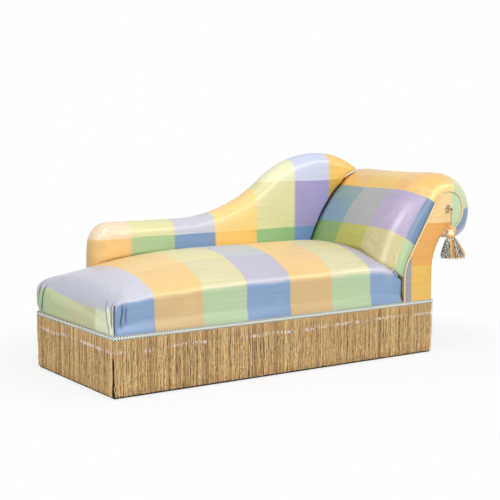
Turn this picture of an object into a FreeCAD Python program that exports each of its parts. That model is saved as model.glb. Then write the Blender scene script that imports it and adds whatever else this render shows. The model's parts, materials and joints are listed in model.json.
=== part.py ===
import FreeCAD, Part
import math
import os
import Sketcher

# A sprung and stuffed chaise longue: a long seat on a rail frame, a low back along the rear
# that rises in a hump, and a head end that rolls over outwards into a scroll.
# Bench frame while drawing: X from the foot end to the head end, Y from the front to the
# rear, Z up from the floor. The finished part is moved so that its origin lies on the floor
# under the middle of its outer box.

sizes = {
    # base frame and feet
    "base_length": 1600,
    "base_depth": 690,
    "foot_height": 120,
    "foot_top_radius": 32,
    "foot_toe_radius": 18,
    "foot_inset": 50,
    "glide_radius": 15,
    "glide_thick": 4,
    "bolt_radius": 4,
    "bolt_reach": 40,
    "fit_gap": 0.1,
    "rail_tall": 130,
    "rail_thick": 28,
    "bearer_tall": 80,
    "block_side": 70,
    "block_tall": 70,
    "dowel_radius": 5,
    "dowel_reach": 25,
    "dowel_spacing": 50,
    # cloth, webbing and springs
    "cover_thick": 3,
    "soft_gap": 0.3,
    "web_thick": 3,
    "web_wide": 50,
    "dust_thick": 1,
    "dust_clear": 2,
    "hessian_level": 340,
    "hessian_thick": 2,
    "spring_wire_radius": 2,
    "spring_end_radius": 44,
    "spring_waist_radius": 30,
    # seat shape
    "seat_edge_height": 367,
    "shoulder_run": 45,
    "shoulder_rise": 70,
    "crown_rise": 68,
    "crown_run": 600,
    "corner_round": 14,
    "foot_edge_round": 24,
    "head_tuck": 22,
    "strip_clear": 7,
    # back shape, measured along from the two ends of the base
    "back_start": 202,
    "back_thick": 120,
    "back_low_height": 621,
    "back_end_radius": 98,
    "crest_height": 898,
    "crest_in": 184,
    "hollow_radius": 674,
    "hump_radius": 511,
    "fall_radius": 408,
    "back_end_out": 50,
    "back_round": 52,
    "back_frame_thick": 47,
    "crest_rail_in": 54,
    "crest_rail_tall": 38,
    "post_wide": 45,
    # head end, measured from the head end of the base
    "facing_wide": 162,
    "pad_angle": 58,
    "bend_radius": 150,
    "scroll_out": 94,
    "scroll_height": 642,
    "scroll_radius": 87,
    "roll_out": 98,
    "roll_height": 626,
    "roll_radius": 188,
    "roll_depth": 105,
    "pad_full": 118,
    "pad_low_full": 108.56,
    "pad_lip_in": 16,
    "pad_lip_up": 56,
    "pad_slack_x": 13,
    "pad_slack_z": 11,
    "ledge_height": 400,
    "heel_in": 30,
    "neck_out": 53,
    "neck_height": 528,
    "board_thick": 22,
    "slat_wide": 70,
    "slat_tall": 34,
    "middle_slat_in": 115,
    "middle_slat_height": 565,
    "tuck_radius": 15,
    "piping_radius": 4,
    # gimp braid, fringe and the dark lining behind it
    "braid_height": 237,
    "braid_wide": 19,
    "braid_thick": 6,
    "fringe_thick": 6,
    "trim_stand": 6,
    "fringe_clear": 10,
    "lining_thick": 1.5,
    "lining_clear": 5,
    # hanging tassel
    "rosette_in": 6,
    "rosette_up": 7,
    "rosette_radius": 17,
    "rosette_thick": 14,
    "shank_radius": 3.1,
    "shank_spare": 2,
    "hang_out": 27,
    "ring_radius": 5,
    "ring_wire_radius": 1.6,
    "cord_radius": 3,
    "cord_length": 65,
    "cord_in_head": 45,
    "tassel_head_long": 51,
    "tassel_neck_radius": 8,
    "tassel_head_radius": 20,
    "skirt_long": 102,
    "skirt_radius": 50,
    "skirt_stand": 6,
}

# counts and positions that are no lengths
LONG_STRAPS = 4
CROSS_STRAPS = 9
SPRING_COLUMNS = 6
SPRING_ROWS = 3
SPRING_HALF_TURNS = 10
BACK_STRAPS = 8
HEAD_STRAPS = 4
LOFT_DEGREE = 3

# Where the roll ends under the head, in degrees from level, on the facing and at its fullest.
FACING_TAIL = -100
ROLL_TAIL = -30

# How full the seat is on its way from the foot end: share of the crown's run for each cut.
FOOT_SHARES = (0, 0.006, 0.018, 0.042, 0.09, 0.16, 0.3, 0.5, 0.75, 1)
# Towards the head end the seat sinks under the pad. For each cut: share of the way, share of the
# shoulder's rise, share of the crown's rise, and share of the tuck.
REST_CUTS = ((0.25, 1, 1, 0), (0.5, 1, 1, 0), (0.75, 1, 0.93, 0), (0.9, 0.86, 0.66, 0.16), (1, 0.85, 0.4, 1))
FOOT_CROWN = 0.06
# Where the middle of a shoulder lies between its foot and its top.
SHOULDER_OUT = 0.22
SHOULDER_UP = 0.62
# How full the head end is on its way in from each facing.
HEAD_SHARES = (0, 0.01, 0.06, 0.16, 0.34, 0.6, 0.85, 1)
# Places between the ledge and the neck on the outside of the head end.
CALF_OUT = 0.3
CALF_UP = 0.48
# The underside of the full roll, as shares of its radius out from and below its middle.
UNDER_OUT = 0.4
UNDER_DOWN = 0.645

doc = FreeCAD.newDocument("chaise_longue")
sheet = doc.addObject("Spreadsheet::Sheet", "Sizes")
for row, (alias, value) in enumerate(sizes.items(), start=1):
    sheet.set(f"A{row}", alias)
    sheet.set(f"B{row}", str(value))
    sheet.setAlias(f"B{row}", alias)
doc.recompute()


def size(alias):
    return float(sheet.get(alias))


# The box of the whole part in the bench frame runs from the fringe at the foot end to the
# outermost point of the roll, and from the front fringe to the rear fringe.
SHIFT_X = "(Sizes.base_length + Sizes.roll_out + Sizes.roll_radius - Sizes.trim_stand) / 2"
SHIFT_Y = "Sizes.base_depth / 2"
shift_x = (size("base_length") + size("roll_out") + size("roll_radius") - size("trim_stand")) / 2
shift_y = size("base_depth") / 2
home = FreeCAD.Placement(FreeCAD.Vector(-shift_x, -shift_y, 0), FreeCAD.Rotation())

pieces = []


def bind(item, rules):
    for name, rule in rules.items():
        item.setExpression(name, rule)


def keep(item, label):
    # A finished sub-part: it gets its name and is moved from the bench frame to its own.
    item.Label = label
    pieces.append(item)
    return item


def keep_home(item, label):
    bind(item, {"Placement.Base.x": f"-{SHIFT_X}", "Placement.Base.y": f"-{SHIFT_Y}"})
    return keep(item, label)


def keep_shape(label, shape):
    item = doc.addObject("Part::Feature", label)
    item.Shape = shape
    item.Placement = home
    return keep(item, label)


def box(name, corner, spans):
    item = doc.addObject("Part::Box", name)
    bind(item, {"Length": spans[0], "Width": spans[1], "Height": spans[2]})
    bind(item, {f"Placement.Base.{axis}": rule for axis, rule in zip("xyz", corner)})
    return item


def box_piece(label, corner, spans):
    moved = (f"{corner[0]} - {SHIFT_X}", f"{corner[1]} - {SHIFT_Y}", corner[2])
    return keep(box(label, moved, spans), label)


def group(name, members):
    item = doc.addObject("Part::Compound", name)
    item.Links = members
    return item


def block_between(low, high):
    return Part.makeBox(high[0] - low[0], high[1] - low[1], high[2] - low[2], FreeCAD.Vector(*low))


def corner_waste(inset, low, y, way):
    # What is taken off a corner of the foot end to round it in plan.
    radius = size("corner_round") - inset
    edge = inset - radius if way > 0 else y - radius
    square = block_between((inset - radius, edge, low - 1),
                           (inset + radius, edge + 2 * radius, size("crest_height")))
    middle = FreeCAD.Vector(inset + radius, y + way * radius, low - 1)
    kept = Part.makeCylinder(radius, size("crest_height"), middle)
    return square.cut(kept)


# Timber base: two long rails, two end rails and two cross bearers, joined with dowels.

COVER = "Sizes.cover_thick"
INNER = "(Sizes.cover_thick + Sizes.rail_thick)"
RAIL_LOW = "Sizes.foot_height"
CROSS_SPAN = f"Sizes.base_depth - 2 * {INNER}"
SPRING_SPAN = f"(Sizes.base_length - Sizes.facing_wide - Sizes.rail_thick - {INNER})"


def dowel_row(x_rule, z_rule, radius_rule, reach_rule, name):
    # Two dowels, one over the other, at both ends of a rail that runs across.
    found = []
    for end, y_rule in (("front", INNER), ("rear", f"(Sizes.base_depth - {INNER})")):
        for step in (0, 1):
            pin = doc.addObject("Part::Cylinder", f"{name}_{end}_{step}")
            pin.Placement.Rotation = FreeCAD.Rotation(FreeCAD.Vector(1, 0, 0), -90)
            bind(pin, {
                "Radius": radius_rule,
                "Height": f"2 * {reach_rule}",
                "Placement.Base.x": x_rule,
                "Placement.Base.y": f"{y_rule} - {reach_rule}",
                "Placement.Base.z": f"{z_rule} + {step} * Sizes.dowel_spacing",
            })
            found.append(pin)
    return found


cross_rails = {
    "foot_rail": ("Sizes.cover_thick", "Sizes.rail_tall"),
    "head_rail": ("(Sizes.base_length - Sizes.cover_thick - Sizes.rail_thick)", "Sizes.rail_tall"),
    "foot_cross_bearer": (f"({INNER} + {SPRING_SPAN} / 3 - Sizes.rail_thick / 2)", "Sizes.bearer_tall"),
    "head_cross_bearer": (f"({INNER} + {SPRING_SPAN} * 2 / 3 - Sizes.rail_thick / 2)", "Sizes.bearer_tall"),
}
dowels = []
holes = []
for name, (x_rule, _) in cross_rails.items():
    middle = f"{x_rule} + Sizes.rail_thick / 2"
    low_dowel = f"{RAIL_LOW} + Sizes.bearer_tall / 2 - Sizes.dowel_spacing / 2"
    dowels += dowel_row(middle, low_dowel, "Sizes.dowel_radius", "Sizes.dowel_reach", f"{name}_dowel")
    holes += dowel_row(middle, low_dowel, "(Sizes.dowel_radius + Sizes.fit_gap)",
                       "(Sizes.dowel_reach + Sizes.fit_gap)", f"{name}_hole")
keep_home(group("rail_dowels", dowels), "rail_dowels")
for name, place, way in (("front", size("cover_thick"), 1),
                         ("rear", size("base_depth") - size("cover_thick"), -1)):
    rounding = doc.addObject("Part::Feature", f"{name}_rail_rounding")
    rounding.Shape = corner_waste(size("cover_thick"), size("foot_height"), place, way)
    holes.append(rounding)
rail_cuts = group("rail_cuts", holes)


def drilled_rail(label, corner, spans):
    plain = box(f"{label}_plain", corner, spans)
    rail = doc.addObject("Part::Cut", label)
    rail.Base = plain
    rail.Tool = rail_cuts
    return keep_home(rail, label)


long_span = "Sizes.base_length - 2 * Sizes.cover_thick"
drilled_rail("front_rail", (COVER, COVER, RAIL_LOW), (long_span, "Sizes.rail_thick", "Sizes.rail_tall"))
drilled_rail("back_rail", (COVER, f"Sizes.base_depth - {INNER}", RAIL_LOW),
             (long_span, "Sizes.rail_thick", "Sizes.rail_tall"))
for name, (x_rule, tall_rule) in cross_rails.items():
    drilled_rail(name, (x_rule, INNER, RAIL_LOW), ("Sizes.rail_thick", CROSS_SPAN, tall_rule))


# Four turned feet stand under the corners, each held by a bolt into a corner block.

def sketch_outline(body, role, corners):
    # A closed outline of straight sides. Each corner is held by two rules from the sheet.
    sketch = body.newObject("Sketcher::SketchObject", "outline")
    plane = [face for face in body.Origin.OriginFeatures if face.Role == role][0]
    sketch.AttachmentSupport = (plane, "")
    sketch.MapMode = "FlatFace"
    start = [FreeCAD.Vector(u, v, 0) for u, v, *rules in corners]
    for index, corner in enumerate(start):
        sketch.addGeometry(Part.LineSegment(corner, start[(index + 1) % len(start)]), False)
    for index in range(len(start)):
        following = (index + 1) % len(start)
        sketch.addConstraint(Sketcher.Constraint("Coincident", index, 2, following, 1))
    for index, (u, v, u_rule, v_rule) in enumerate(corners):
        for kind, value, rule in (("DistanceX", u, u_rule), ("DistanceY", v, v_rule)):
            if rule is None:
                on_axis = -2 if kind == "DistanceX" else -1
                sketch.addConstraint(Sketcher.Constraint("PointOnObject", index, 1, on_axis))
                continue
            added = sketch.addConstraint(Sketcher.Constraint(kind, -1, 1, index, 1, value))
            label = f"{kind[-1].lower()}_{index}"
            sketch.renameConstraint(added, label)
            sketch.setExpression(f"Constraints.{label}", rule)
    return sketch


def turned(label, corners):
    # A body turned on a lathe about its own vertical axis: radius and height of each corner.
    body = doc.addObject("PartDesign::Body", label)
    sketch = sketch_outline(body, "XZ_Plane", corners)
    doc.recompute()
    turn = body.newObject("PartDesign::Revolution", "turning")
    turn.Profile = sketch
    turn.ReferenceAxis = (sketch, ["V_Axis"])
    turn.Angle = 360
    body.Tip = turn
    return body


def corner_places():
    near = "Sizes.foot_inset"
    return {
        "foot_end_front": (near, near),
        "foot_end_rear": (near, f"(Sizes.base_depth - {near})"),
        "head_end_front": (f"(Sizes.base_length - {near})", near),
        "head_end_rear": (f"(Sizes.base_length - {near})", f"(Sizes.base_depth - {near})"),
    }


bolt_hole = "Sizes.bolt_radius + Sizes.fit_gap"
bolt_floor = "Sizes.foot_height - Sizes.bolt_reach - Sizes.fit_gap"
for corner, (x_rule, y_rule) in corner_places().items():
    foot = turned(f"{corner}_leg", [
        (0, 4, None, "Sizes.glide_thick"),
        (18, 4, "Sizes.foot_toe_radius", "Sizes.glide_thick"),
        (22, 30, "Sizes.foot_toe_radius + 4", "Sizes.foot_height / 4"),
        (32, 95, "Sizes.foot_top_radius", "Sizes.foot_height * 0.8"),
        (32, 120, "Sizes.foot_top_radius", "Sizes.foot_height"),
        (4, 120, bolt_hole, "Sizes.foot_height"),
        (4, 80, bolt_hole, bolt_floor),
        (0, 80, None, bolt_floor),
    ])
    bind(foot, {"Placement.Base.x": f"{x_rule} - {SHIFT_X}", "Placement.Base.y": f"{y_rule} - {SHIFT_Y}"})
    keep(foot, f"{corner}_leg")


def upright_pins(name, radius_rule, low_rule, tall_rule):
    found = []
    for corner, (x_rule, y_rule) in corner_places().items():
        pin = doc.addObject("Part::Cylinder", f"{name}_{corner}")
        bind(pin, {"Radius": radius_rule, "Height": tall_rule, "Placement.Base.x": x_rule,
                   "Placement.Base.y": y_rule, "Placement.Base.z": low_rule})
        found.append(pin)
    return found


glides = upright_pins("glide", "Sizes.glide_radius", "0", "Sizes.glide_thick")
keep_home(group("leg_glides", glides), "leg_glides")
bolt_low = "Sizes.foot_height - Sizes.bolt_reach"
bolts = upright_pins("leg_bolt", "Sizes.bolt_radius", bolt_low, "2 * Sizes.bolt_reach")
keep_home(group("leg_bolts", bolts), "leg_bolts")


def corner_block(x_way, y_way):
    # A three-cornered block glued into the corner of the rails, drilled for the foot's bolt.
    inner = size("cover_thick") + size("rail_thick")
    x = inner if x_way > 0 else size("base_length") - inner
    y = inner if y_way > 0 else size("base_depth") - inner
    low = size("foot_height")
    side = size("block_side")
    corners = [FreeCAD.Vector(x, y, low), FreeCAD.Vector(x + x_way * side, y, low),
               FreeCAD.Vector(x, y + y_way * side, low), FreeCAD.Vector(x, y, low)]
    block = Part.Face(Part.makePolygon(corners)).extrude(FreeCAD.Vector(0, 0, size("block_tall")))
    inset = size("foot_inset")
    bolt_x = inset if x_way > 0 else size("base_length") - inset
    bolt_y = inset if y_way > 0 else size("base_depth") - inset
    reach = size("bolt_reach") + size("fit_gap")
    hole_radius = size("bolt_radius") + size("fit_gap")
    hole = Part.makeCylinder(hole_radius, reach, FreeCAD.Vector(bolt_x, bolt_y, low))
    return block.cut(hole)


blocks = [corner_block(x_way, y_way) for x_way in (1, -1) for y_way in (1, -1)]
keep_shape("corner_blocks", Part.makeCompound(blocks))


# Webbing under the rails, coil springs on it, and the hessian that the springs carry.

core_front = size("cover_thick") + size("rail_thick")
core_rear = size("base_depth") - size("back_thick") - size("rail_thick")
core_foot = core_front
facing_x = size("base_length") - size("facing_wide")
core_head = facing_x - size("rail_thick")


def spread(low, high, count):
    # Middles of count equal shares of a span.
    share = (high - low) / count
    return [low + share * (index + 0.5) for index in range(count)]


def long_webbing():
    top = size("foot_height")
    half = size("web_wide") / 2
    edge = size("foot_inset") + size("foot_top_radius") + size("dust_clear")
    rows = spread(edge, size("base_depth") - edge, LONG_STRAPS)
    low_x = size("cover_thick") + size("rail_thick") / 4
    high_x = size("base_length") - low_x
    under = top - size("web_thick")
    return [block_between((low_x, y - half, under), (high_x, y + half, top)) for y in rows]


def cross_webbing():
    top = size("foot_height") - size("web_thick")
    half = size("web_wide") / 2
    edge = size("foot_inset") + size("foot_top_radius") + size("dust_clear")
    columns = spread(edge, size("base_length") - edge, CROSS_STRAPS)
    low_y = size("cover_thick") + size("rail_thick") / 4
    high_y = size("base_depth") - low_y
    under = top - size("web_thick")
    return [block_between((x - half, low_y, under), (x + half, high_y, top)) for x in columns]


def dust_cover():
    top = size("foot_height") - 2 * size("web_thick")
    edge = size("cover_thick")
    sheet_shape = block_between((edge, edge, top - size("dust_thick")),
                                (size("base_length") - edge, size("base_depth") - edge, top))
    inset = size("foot_inset")
    radius = size("foot_top_radius") + size("dust_clear")
    for x in (inset, size("base_length") - inset):
        for y in (inset, size("base_depth") - inset):
            foot_room = Part.makeCylinder(radius, size("foot_height"), FreeCAD.Vector(x, y, 0))
            sheet_shape = sheet_shape.cut(foot_room)
    return sheet_shape


keep_shape("seat_webbing", Part.makeCompound(long_webbing() + cross_webbing()))
keep_shape("dust_cover", dust_cover())
hessian_top = size("hessian_level") + size("hessian_thick")
keep_shape("seat_hessian", block_between((core_foot, core_front, size("hessian_level")),
                                         (core_head, core_rear, hessian_top)))


def arc_from_tangent(start, tangent, end):
    # The arc that leaves start along tangent and ends at end.
    chord = end - start
    along = FreeCAD.Vector(chord).normalize()
    side = FreeCAD.Vector(tangent - along * tangent.dot(along)).normalize()
    half_turn = math.acos(max(-1.0, min(1.0, tangent.dot(along))))
    rise = chord.Length / 2 * math.tan(half_turn / 2)
    middle = start + chord * 0.5 + side * rise
    return Part.Arc(start, middle, end)


def biarc(start, start_way, end, end_way):
    # Two arcs that meet in one tangent and take the curve from one direction to the other.
    span = end - start
    ways = start_way + end_way
    turn = 2 * (1 - start_way.dot(end_way))
    reach = (-span.dot(ways) + math.sqrt(span.dot(ways) ** 2 + turn * span.dot(span))) / turn
    middle = (start + end + (start_way - end_way) * reach) * 0.5
    middle_way = FreeCAD.Vector(middle - start - start_way * reach).normalize()
    return [arc_from_tangent(start, start_way, middle), arc_from_tangent(middle, middle_way, end)]


def spring_point(share):
    # A coil that is narrow at its waist: point and direction at a share of its height.
    wire = size("spring_wire_radius")
    low = size("foot_height") + wire + size("soft_gap") / 2
    high = size("hessian_level") - wire - size("soft_gap") / 2
    flare = size("spring_end_radius") - size("spring_waist_radius")
    angle = math.pi * SPRING_HALF_TURNS * share
    radius = size("spring_waist_radius") + flare * (2 * share - 1) ** 2
    radius_rate = flare * 4 * (2 * share - 1)
    angle_rate = math.pi * SPRING_HALF_TURNS
    point = FreeCAD.Vector(radius * math.cos(angle), radius * math.sin(angle), low + (high - low) * share)
    way = FreeCAD.Vector(radius_rate * math.cos(angle) - radius * angle_rate * math.sin(angle),
                         radius_rate * math.sin(angle) + radius * angle_rate * math.cos(angle), high - low)
    return point, way.normalize()


def coil_spring():
    arcs = []
    for step in range(SPRING_HALF_TURNS):
        start, start_way = spring_point(step / SPRING_HALF_TURNS)
        end, end_way = spring_point((step + 1) / SPRING_HALF_TURNS)
        arcs += biarc(start, start_way, end, end_way)
    path = Part.Wire([arc.toShape() for arc in arcs])
    start, start_way = spring_point(0)
    ring = Part.Wire(Part.makeCircle(size("spring_wire_radius"), start, start_way))
    return path.makePipeShell([ring], True, False)


def coil_gap():
    # Least distance between one turn of the wire and the next.
    samples = 40 * SPRING_HALF_TURNS
    turn = 2 * samples // SPRING_HALF_TURNS
    points = [spring_point(index / samples)[0] for index in range(samples + 1)]
    least = min((points[index] - points[other]).Length for index in range(samples + 1)
                for other in range(index + turn // 2, samples + 1))
    return least - 2 * size("spring_wire_radius")


spring = coil_spring()
print("spring coil: least gap to itself", round(coil_gap(), 2), "mm")
springs = []
for x in spread(core_foot, core_head, SPRING_COLUMNS):
    for y in spread(core_front, core_rear, SPRING_ROWS):
        placed = spring.copy()
        placed.translate(FreeCAD.Vector(x, y, 0))
        springs.append(placed)
keep_shape("seat_springs", Part.makeCompound(springs))


# Seat: crowned both ways, with soft shoulders along its edges and a rounded foot end.

def line(start, end):
    return Part.LineSegment(start, end).toShape()


def arc(start, middle, end):
    return Part.Arc(start, middle, end).toShape()


def seat_section(x, shares, drop, inset, low):
    # One cut across the seat at x: shares of the full shoulder and crown, and how far it is lower.
    near = inset
    far = size("base_depth") - inset
    shoulder = size("shoulder_run")
    base = size("seat_edge_height") - drop - inset
    rise = shares[0] * size("shoulder_rise")
    top = base + rise + shares[1] * size("crown_rise")

    def at(y, z):
        return FreeCAD.Vector(x, y, z)

    middle_y = size("base_depth") / 2
    front_foot = at(near, low)
    front_edge = at(near, base)
    front_mid = at(near + SHOULDER_OUT * shoulder, base + SHOULDER_UP * rise)
    front_top = at(near + shoulder, base + rise)
    rear_top = at(far - shoulder, base + rise)
    rear_mid = at(far - SHOULDER_OUT * shoulder, base + SHOULDER_UP * rise)
    rear_edge = at(far, base)
    rear_foot = at(far, low)
    return Part.Wire([line(front_foot, front_edge), arc(front_edge, front_mid, front_top),
                      arc(front_top, at(middle_y, top), rear_top), arc(rear_top, rear_mid, rear_edge),
                      line(rear_edge, rear_foot), line(rear_foot, front_foot)])


def seat_form(inset, low, end):
    # The whole seat as one closed form, drawn in all round by inset, from low up to the crown.
    run = size("crown_run")
    edge = size("foot_edge_round")
    sections = []
    for step in FOOT_SHARES:
        crown = FOOT_CROWN + (1 - FOOT_CROWN) * (1 - (1 - step) ** 2) ** 0.7
        short = max(0, edge - step * run)
        drop = edge - math.sqrt(edge ** 2 - short ** 2)
        sections.append(seat_section(step * run + inset, (crown, crown), drop, inset, low))
    for step, shoulder, crown, tuck in REST_CUTS:
        x = end if step == 1 else run + step * (seat_end - run)
        sections.append(seat_section(x, (shoulder, crown), tuck * size("head_tuck"), inset, low))
    square = Part.makeLoft(sections, True, False, False, LOFT_DEGREE)
    far = size("base_depth") - inset
    return square.cut(corner_waste(inset, low, inset, 1)).cut(corner_waste(inset, low, far, -1))


# Back: an upright pad along the rear, low at the foot end and rising in a hump.

back_front = size("base_depth") - size("back_thick")
crest_x = size("base_length") - size("crest_in")


def on_circle(x, z, radius, degrees):
    turn = math.radians(degrees)
    return x + radius * math.cos(turn), z + radius * math.sin(turn)


def back_outline(inset, low, y):
    # Outline seen from the front: end curve, level stretch, hollow, hump and fall.
    def at(x, z):
        return FreeCAD.Vector(x, y, z)

    level = size("back_low_height")
    end_radius = size("back_end_radius")
    hollow = size("hollow_radius")
    hump = size("hump_radius")
    fall = size("fall_radius")
    rise = size("crest_height") - level
    swing = math.degrees(math.acos(1 - rise / (hollow + hump)))
    hollow_x = crest_x - (hollow + hump) * math.sin(math.radians(swing))
    end_x = size("back_start") + end_radius
    stop_x = size("base_length") + size("back_end_out")
    fall_turn = math.degrees(math.asin((stop_x - crest_x) / (fall - inset)))

    def hollow_at(degrees):
        return at(*on_circle(hollow_x, level + hollow, hollow + inset, degrees))

    def hump_at(degrees):
        return at(*on_circle(crest_x, size("crest_height") - hump, hump - inset, degrees))

    def fall_at(degrees):
        return at(*on_circle(crest_x, size("crest_height") - fall, fall - inset, degrees))

    def end_at(degrees):
        return at(*on_circle(end_x, level - end_radius, end_radius - inset, degrees))

    inside_x = size("base_length") - size("cover_thick") - size("strip_clear")
    knee = at(inside_x, size("ledge_height"))
    chain = [line(at(size("back_start") + inset, low), end_at(180)),
             arc(end_at(180), end_at(135), end_at(90)),
             line(end_at(90), hollow_at(-90)),
             arc(hollow_at(-90), hollow_at(-90 + swing / 2), hollow_at(-90 + swing)),
             arc(hump_at(90 + swing), hump_at(90 + swing / 2), hump_at(90)),
             arc(fall_at(90), fall_at(90 - fall_turn / 2), fall_at(90 - fall_turn))]
    tail = [line(fall_at(90 - fall_turn), at(stop_x, size("scroll_height"))),
            line(at(stop_x, size("scroll_height")), knee),
            line(knee, at(inside_x, low)),
            line(at(inside_x, low), at(size("back_start") + inset, low))]
    return chain, tail


def back_prism(inset, low, front, rear):
    chain, tail = back_outline(inset, low, front)
    return Part.Face(Part.Wire(chain + tail)).extrude(FreeCAD.Vector(0, rear - front, 0))


def back_form(inset, low):
    # The padded back with its upper edges rounded over, drawn in all round by inset.
    front = back_front + inset
    rear = size("base_depth") - inset
    plain = back_prism(inset, low, front, rear)
    chain = back_outline(inset, low, front)[0] + back_outline(inset, low, rear)[0]
    middles = [edge.valueAt((edge.FirstParameter + edge.LastParameter) / 2) for edge in chain]
    rounded = [edge for edge in plain.Edges
               if any(edge.distToShape(Part.Vertex(point))[0] < 0.01 for point in middles)]
    return plain.makeFillet(size("back_round") - inset, rounded)


# Head end: a flat facing at each end of the scroll, a pad that leans back, and the roll.

base_end = size("base_length")
scroll_x = base_end + size("scroll_out")
roll_x = base_end + size("roll_out")


def blend(low, high, share):
    return low + (high - low) * share


def facing_edges(inset, low, y):
    # Outline of the facing: up the seat side, along the pad, round the scroll, down outside.
    def at(x, z):
        return FreeCAD.Vector(x, y, z)

    def scroll(degrees):
        return at(*on_circle(scroll_x, size("scroll_height"), size("scroll_radius") - inset, degrees))

    lean = size("pad_angle")
    inner_x = facing_x + inset
    pad_top = scroll(lean + 90)
    corner_z = pad_top.z - (pad_top.x - inner_x) * math.tan(math.radians(lean))
    radius = size("bend_radius") - inset
    reach = radius * math.tan(math.radians((90 - lean) / 2))
    bend_low = at(inner_x, corner_z - reach)
    bend_mid = at(*on_circle(inner_x + radius, bend_low.z, radius, 180 - (90 - lean) / 2))
    bend_top = at(*on_circle(inner_x + radius, bend_low.z, radius, 90 + lean))
    halfway = (lean + 90 + FACING_TAIL) / 2
    tail = scroll(FACING_TAIL)
    neck = at(base_end + size("neck_out") - 0.8 * inset, size("neck_height") + 0.6 * inset)
    calf = at(base_end + CALF_OUT * size("neck_out") - 0.95 * inset,
              blend(size("ledge_height"), size("neck_height"), CALF_UP) + 0.3 * inset)
    shin = at(base_end - inset, size("ledge_height"))
    lead = [line(at(inner_x, low), bend_low), arc(bend_low, bend_mid, bend_top), line(bend_top, pad_top),
            arc(pad_top, scroll((lean + 90 + halfway) / 2), scroll(halfway)),
            arc(scroll(halfway), scroll((halfway + FACING_TAIL) / 2), tail)]
    outside = [line(tail, neck), arc(neck, calf, shin), line(shin, at(base_end - inset, low))]
    close = [line(at(base_end - inset, low), at(inner_x, low))]
    return lead, outside, close


def facing_prism(inset, low, front, rear):
    lead, outside, close = facing_edges(inset, low, front)
    return Part.Face(Part.Wire(lead + outside + close)).extrude(FreeCAD.Vector(0, rear - front, 0))


def head_section(y, share, inset):
    # One cut along the head end. At share 0 it is the facing, at 1 the full pad and roll.
    def between(start, end, normal):
        x = blend(start[0], end[0], share) + normal[0] * inset
        z = blend(start[1], end[1], share) + normal[1] * inset
        return FreeCAD.Vector(x, y, z)

    lean = size("pad_angle")
    ledge = size("ledge_height")
    lead = facing_edges(0, size("foot_height"), 0)[0]
    bend = lead[1]
    bend_low = bend.valueAt(bend.FirstParameter)
    bend_top = bend.valueAt(bend.LastParameter)
    bend_x = facing_x + size("bend_radius")
    pad_top = (lead[2].valueAt(lead[2].LastParameter).x, lead[2].valueAt(lead[2].LastParameter).z)
    full = size("pad_full")
    slope = math.radians(lean)
    out = (-math.sin(slope) * full, math.cos(slope) * full)
    low_in = facing_x - size("pad_low_full")

    facing_start = (bend_low.x, bend_low.z)
    facing_bend = on_circle(bend_x, bend_low.z, size("bend_radius"), (180 + lean + 90) / 2)
    facing_pad = ((bend_top.x + pad_top[0]) / 2 - 1, (bend_top.z + pad_top[1]) / 2 + 0.6)
    start = between(facing_start, (low_in, ledge), (1.1, 0.6))
    heel_in = size("heel_in")
    heel_place = (facing_x + heel_in, bend_low.z - heel_in * (ledge - bend_low.z) / size("pad_low_full"))
    heel = between(heel_place, heel_place, (0.39, 0.92))
    lip = (low_in + size("pad_lip_in"), ledge + size("pad_lip_up"))
    half_lip = (low_in + 7 / 16 * size("pad_lip_in"), ledge + size("pad_lip_up") / 2)
    full_pad = (facing_pad[0] + out[0] - size("pad_slack_x"), facing_pad[1] + out[1] - size("pad_slack_z"))
    bend_mid = between(facing_bend, half_lip, (0.95, -0.3))
    bend_end = between((bend_top.x, bend_top.z), lip, (0.9, -0.43))
    pad_mid = between(facing_pad, full_pad, (0.85, -0.53))

    middle_x = blend(scroll_x, roll_x, share)
    middle_z = blend(size("scroll_height"), size("roll_height"), share)
    radius = blend(size("scroll_radius"), size("roll_radius"), share) - inset

    def roll(degrees):
        x, z = on_circle(middle_x, middle_z, radius, degrees)
        return FreeCAD.Vector(x, y, z)

    roll_start = blend(lean + 90, lean + 84, share)
    under_turn = (ROLL_TAIL + FACING_TAIL) / 2
    facing_under = on_circle(scroll_x, size("scroll_height"), size("scroll_radius"), under_turn)
    full_under = (roll_x + UNDER_OUT * size("roll_radius"),
                  size("roll_height") - UNDER_DOWN * size("roll_radius"))
    under = between(facing_under, full_under, (0, 1))
    tail_place = on_circle(scroll_x, size("scroll_height"), size("scroll_radius"), FACING_TAIL)
    tail = between(tail_place, tail_place, (0.17, 0.98))
    neck_place = (base_end + size("neck_out"), size("neck_height"))
    neck = between(neck_place, neck_place, (-0.8, 0.6))
    calf_place = (base_end + CALF_OUT * size("neck_out"), blend(ledge, size("neck_height"), CALF_UP))
    calf = between(calf_place, calf_place, (-0.95, 0.3))
    shin = between((base_end, ledge), (base_end, ledge), (-1, 1))
    return Part.Wire([arc(start, bend_mid, bend_end), arc(bend_end, pad_mid, roll(roll_start)),
                      arc(roll(roll_start), roll((roll_start + ROLL_TAIL) / 2), roll(ROLL_TAIL)),
                      arc(roll(ROLL_TAIL), under, tail), line(tail, neck), arc(neck, calf, shin),
                      line(shin, heel), line(heel, start)])


def head_form(inset):
    # The pad and the roll above the ledge, rounded in to the facing at both ends.
    depth = size("roll_depth")
    front = inset
    rear = size("base_depth") - inset
    ends = []
    for share in HEAD_SHARES:
        fullness = math.sqrt(1 - (1 - share) ** 2)
        ends.append((share * depth, fullness))
    sections = [head_section(front + run, fullness, inset) for run, fullness in ends]
    middle = (front + rear) / 2
    for place in (blend(front + depth, middle, 0.5), middle, blend(rear - depth, middle, 0.5)):
        sections.append(head_section(place, 1, inset))
    sections += [head_section(rear - run, fullness, inset) for run, fullness in reversed(ends)]
    return Part.makeLoft(sections, True, False, False, LOFT_DEGREE)


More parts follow.
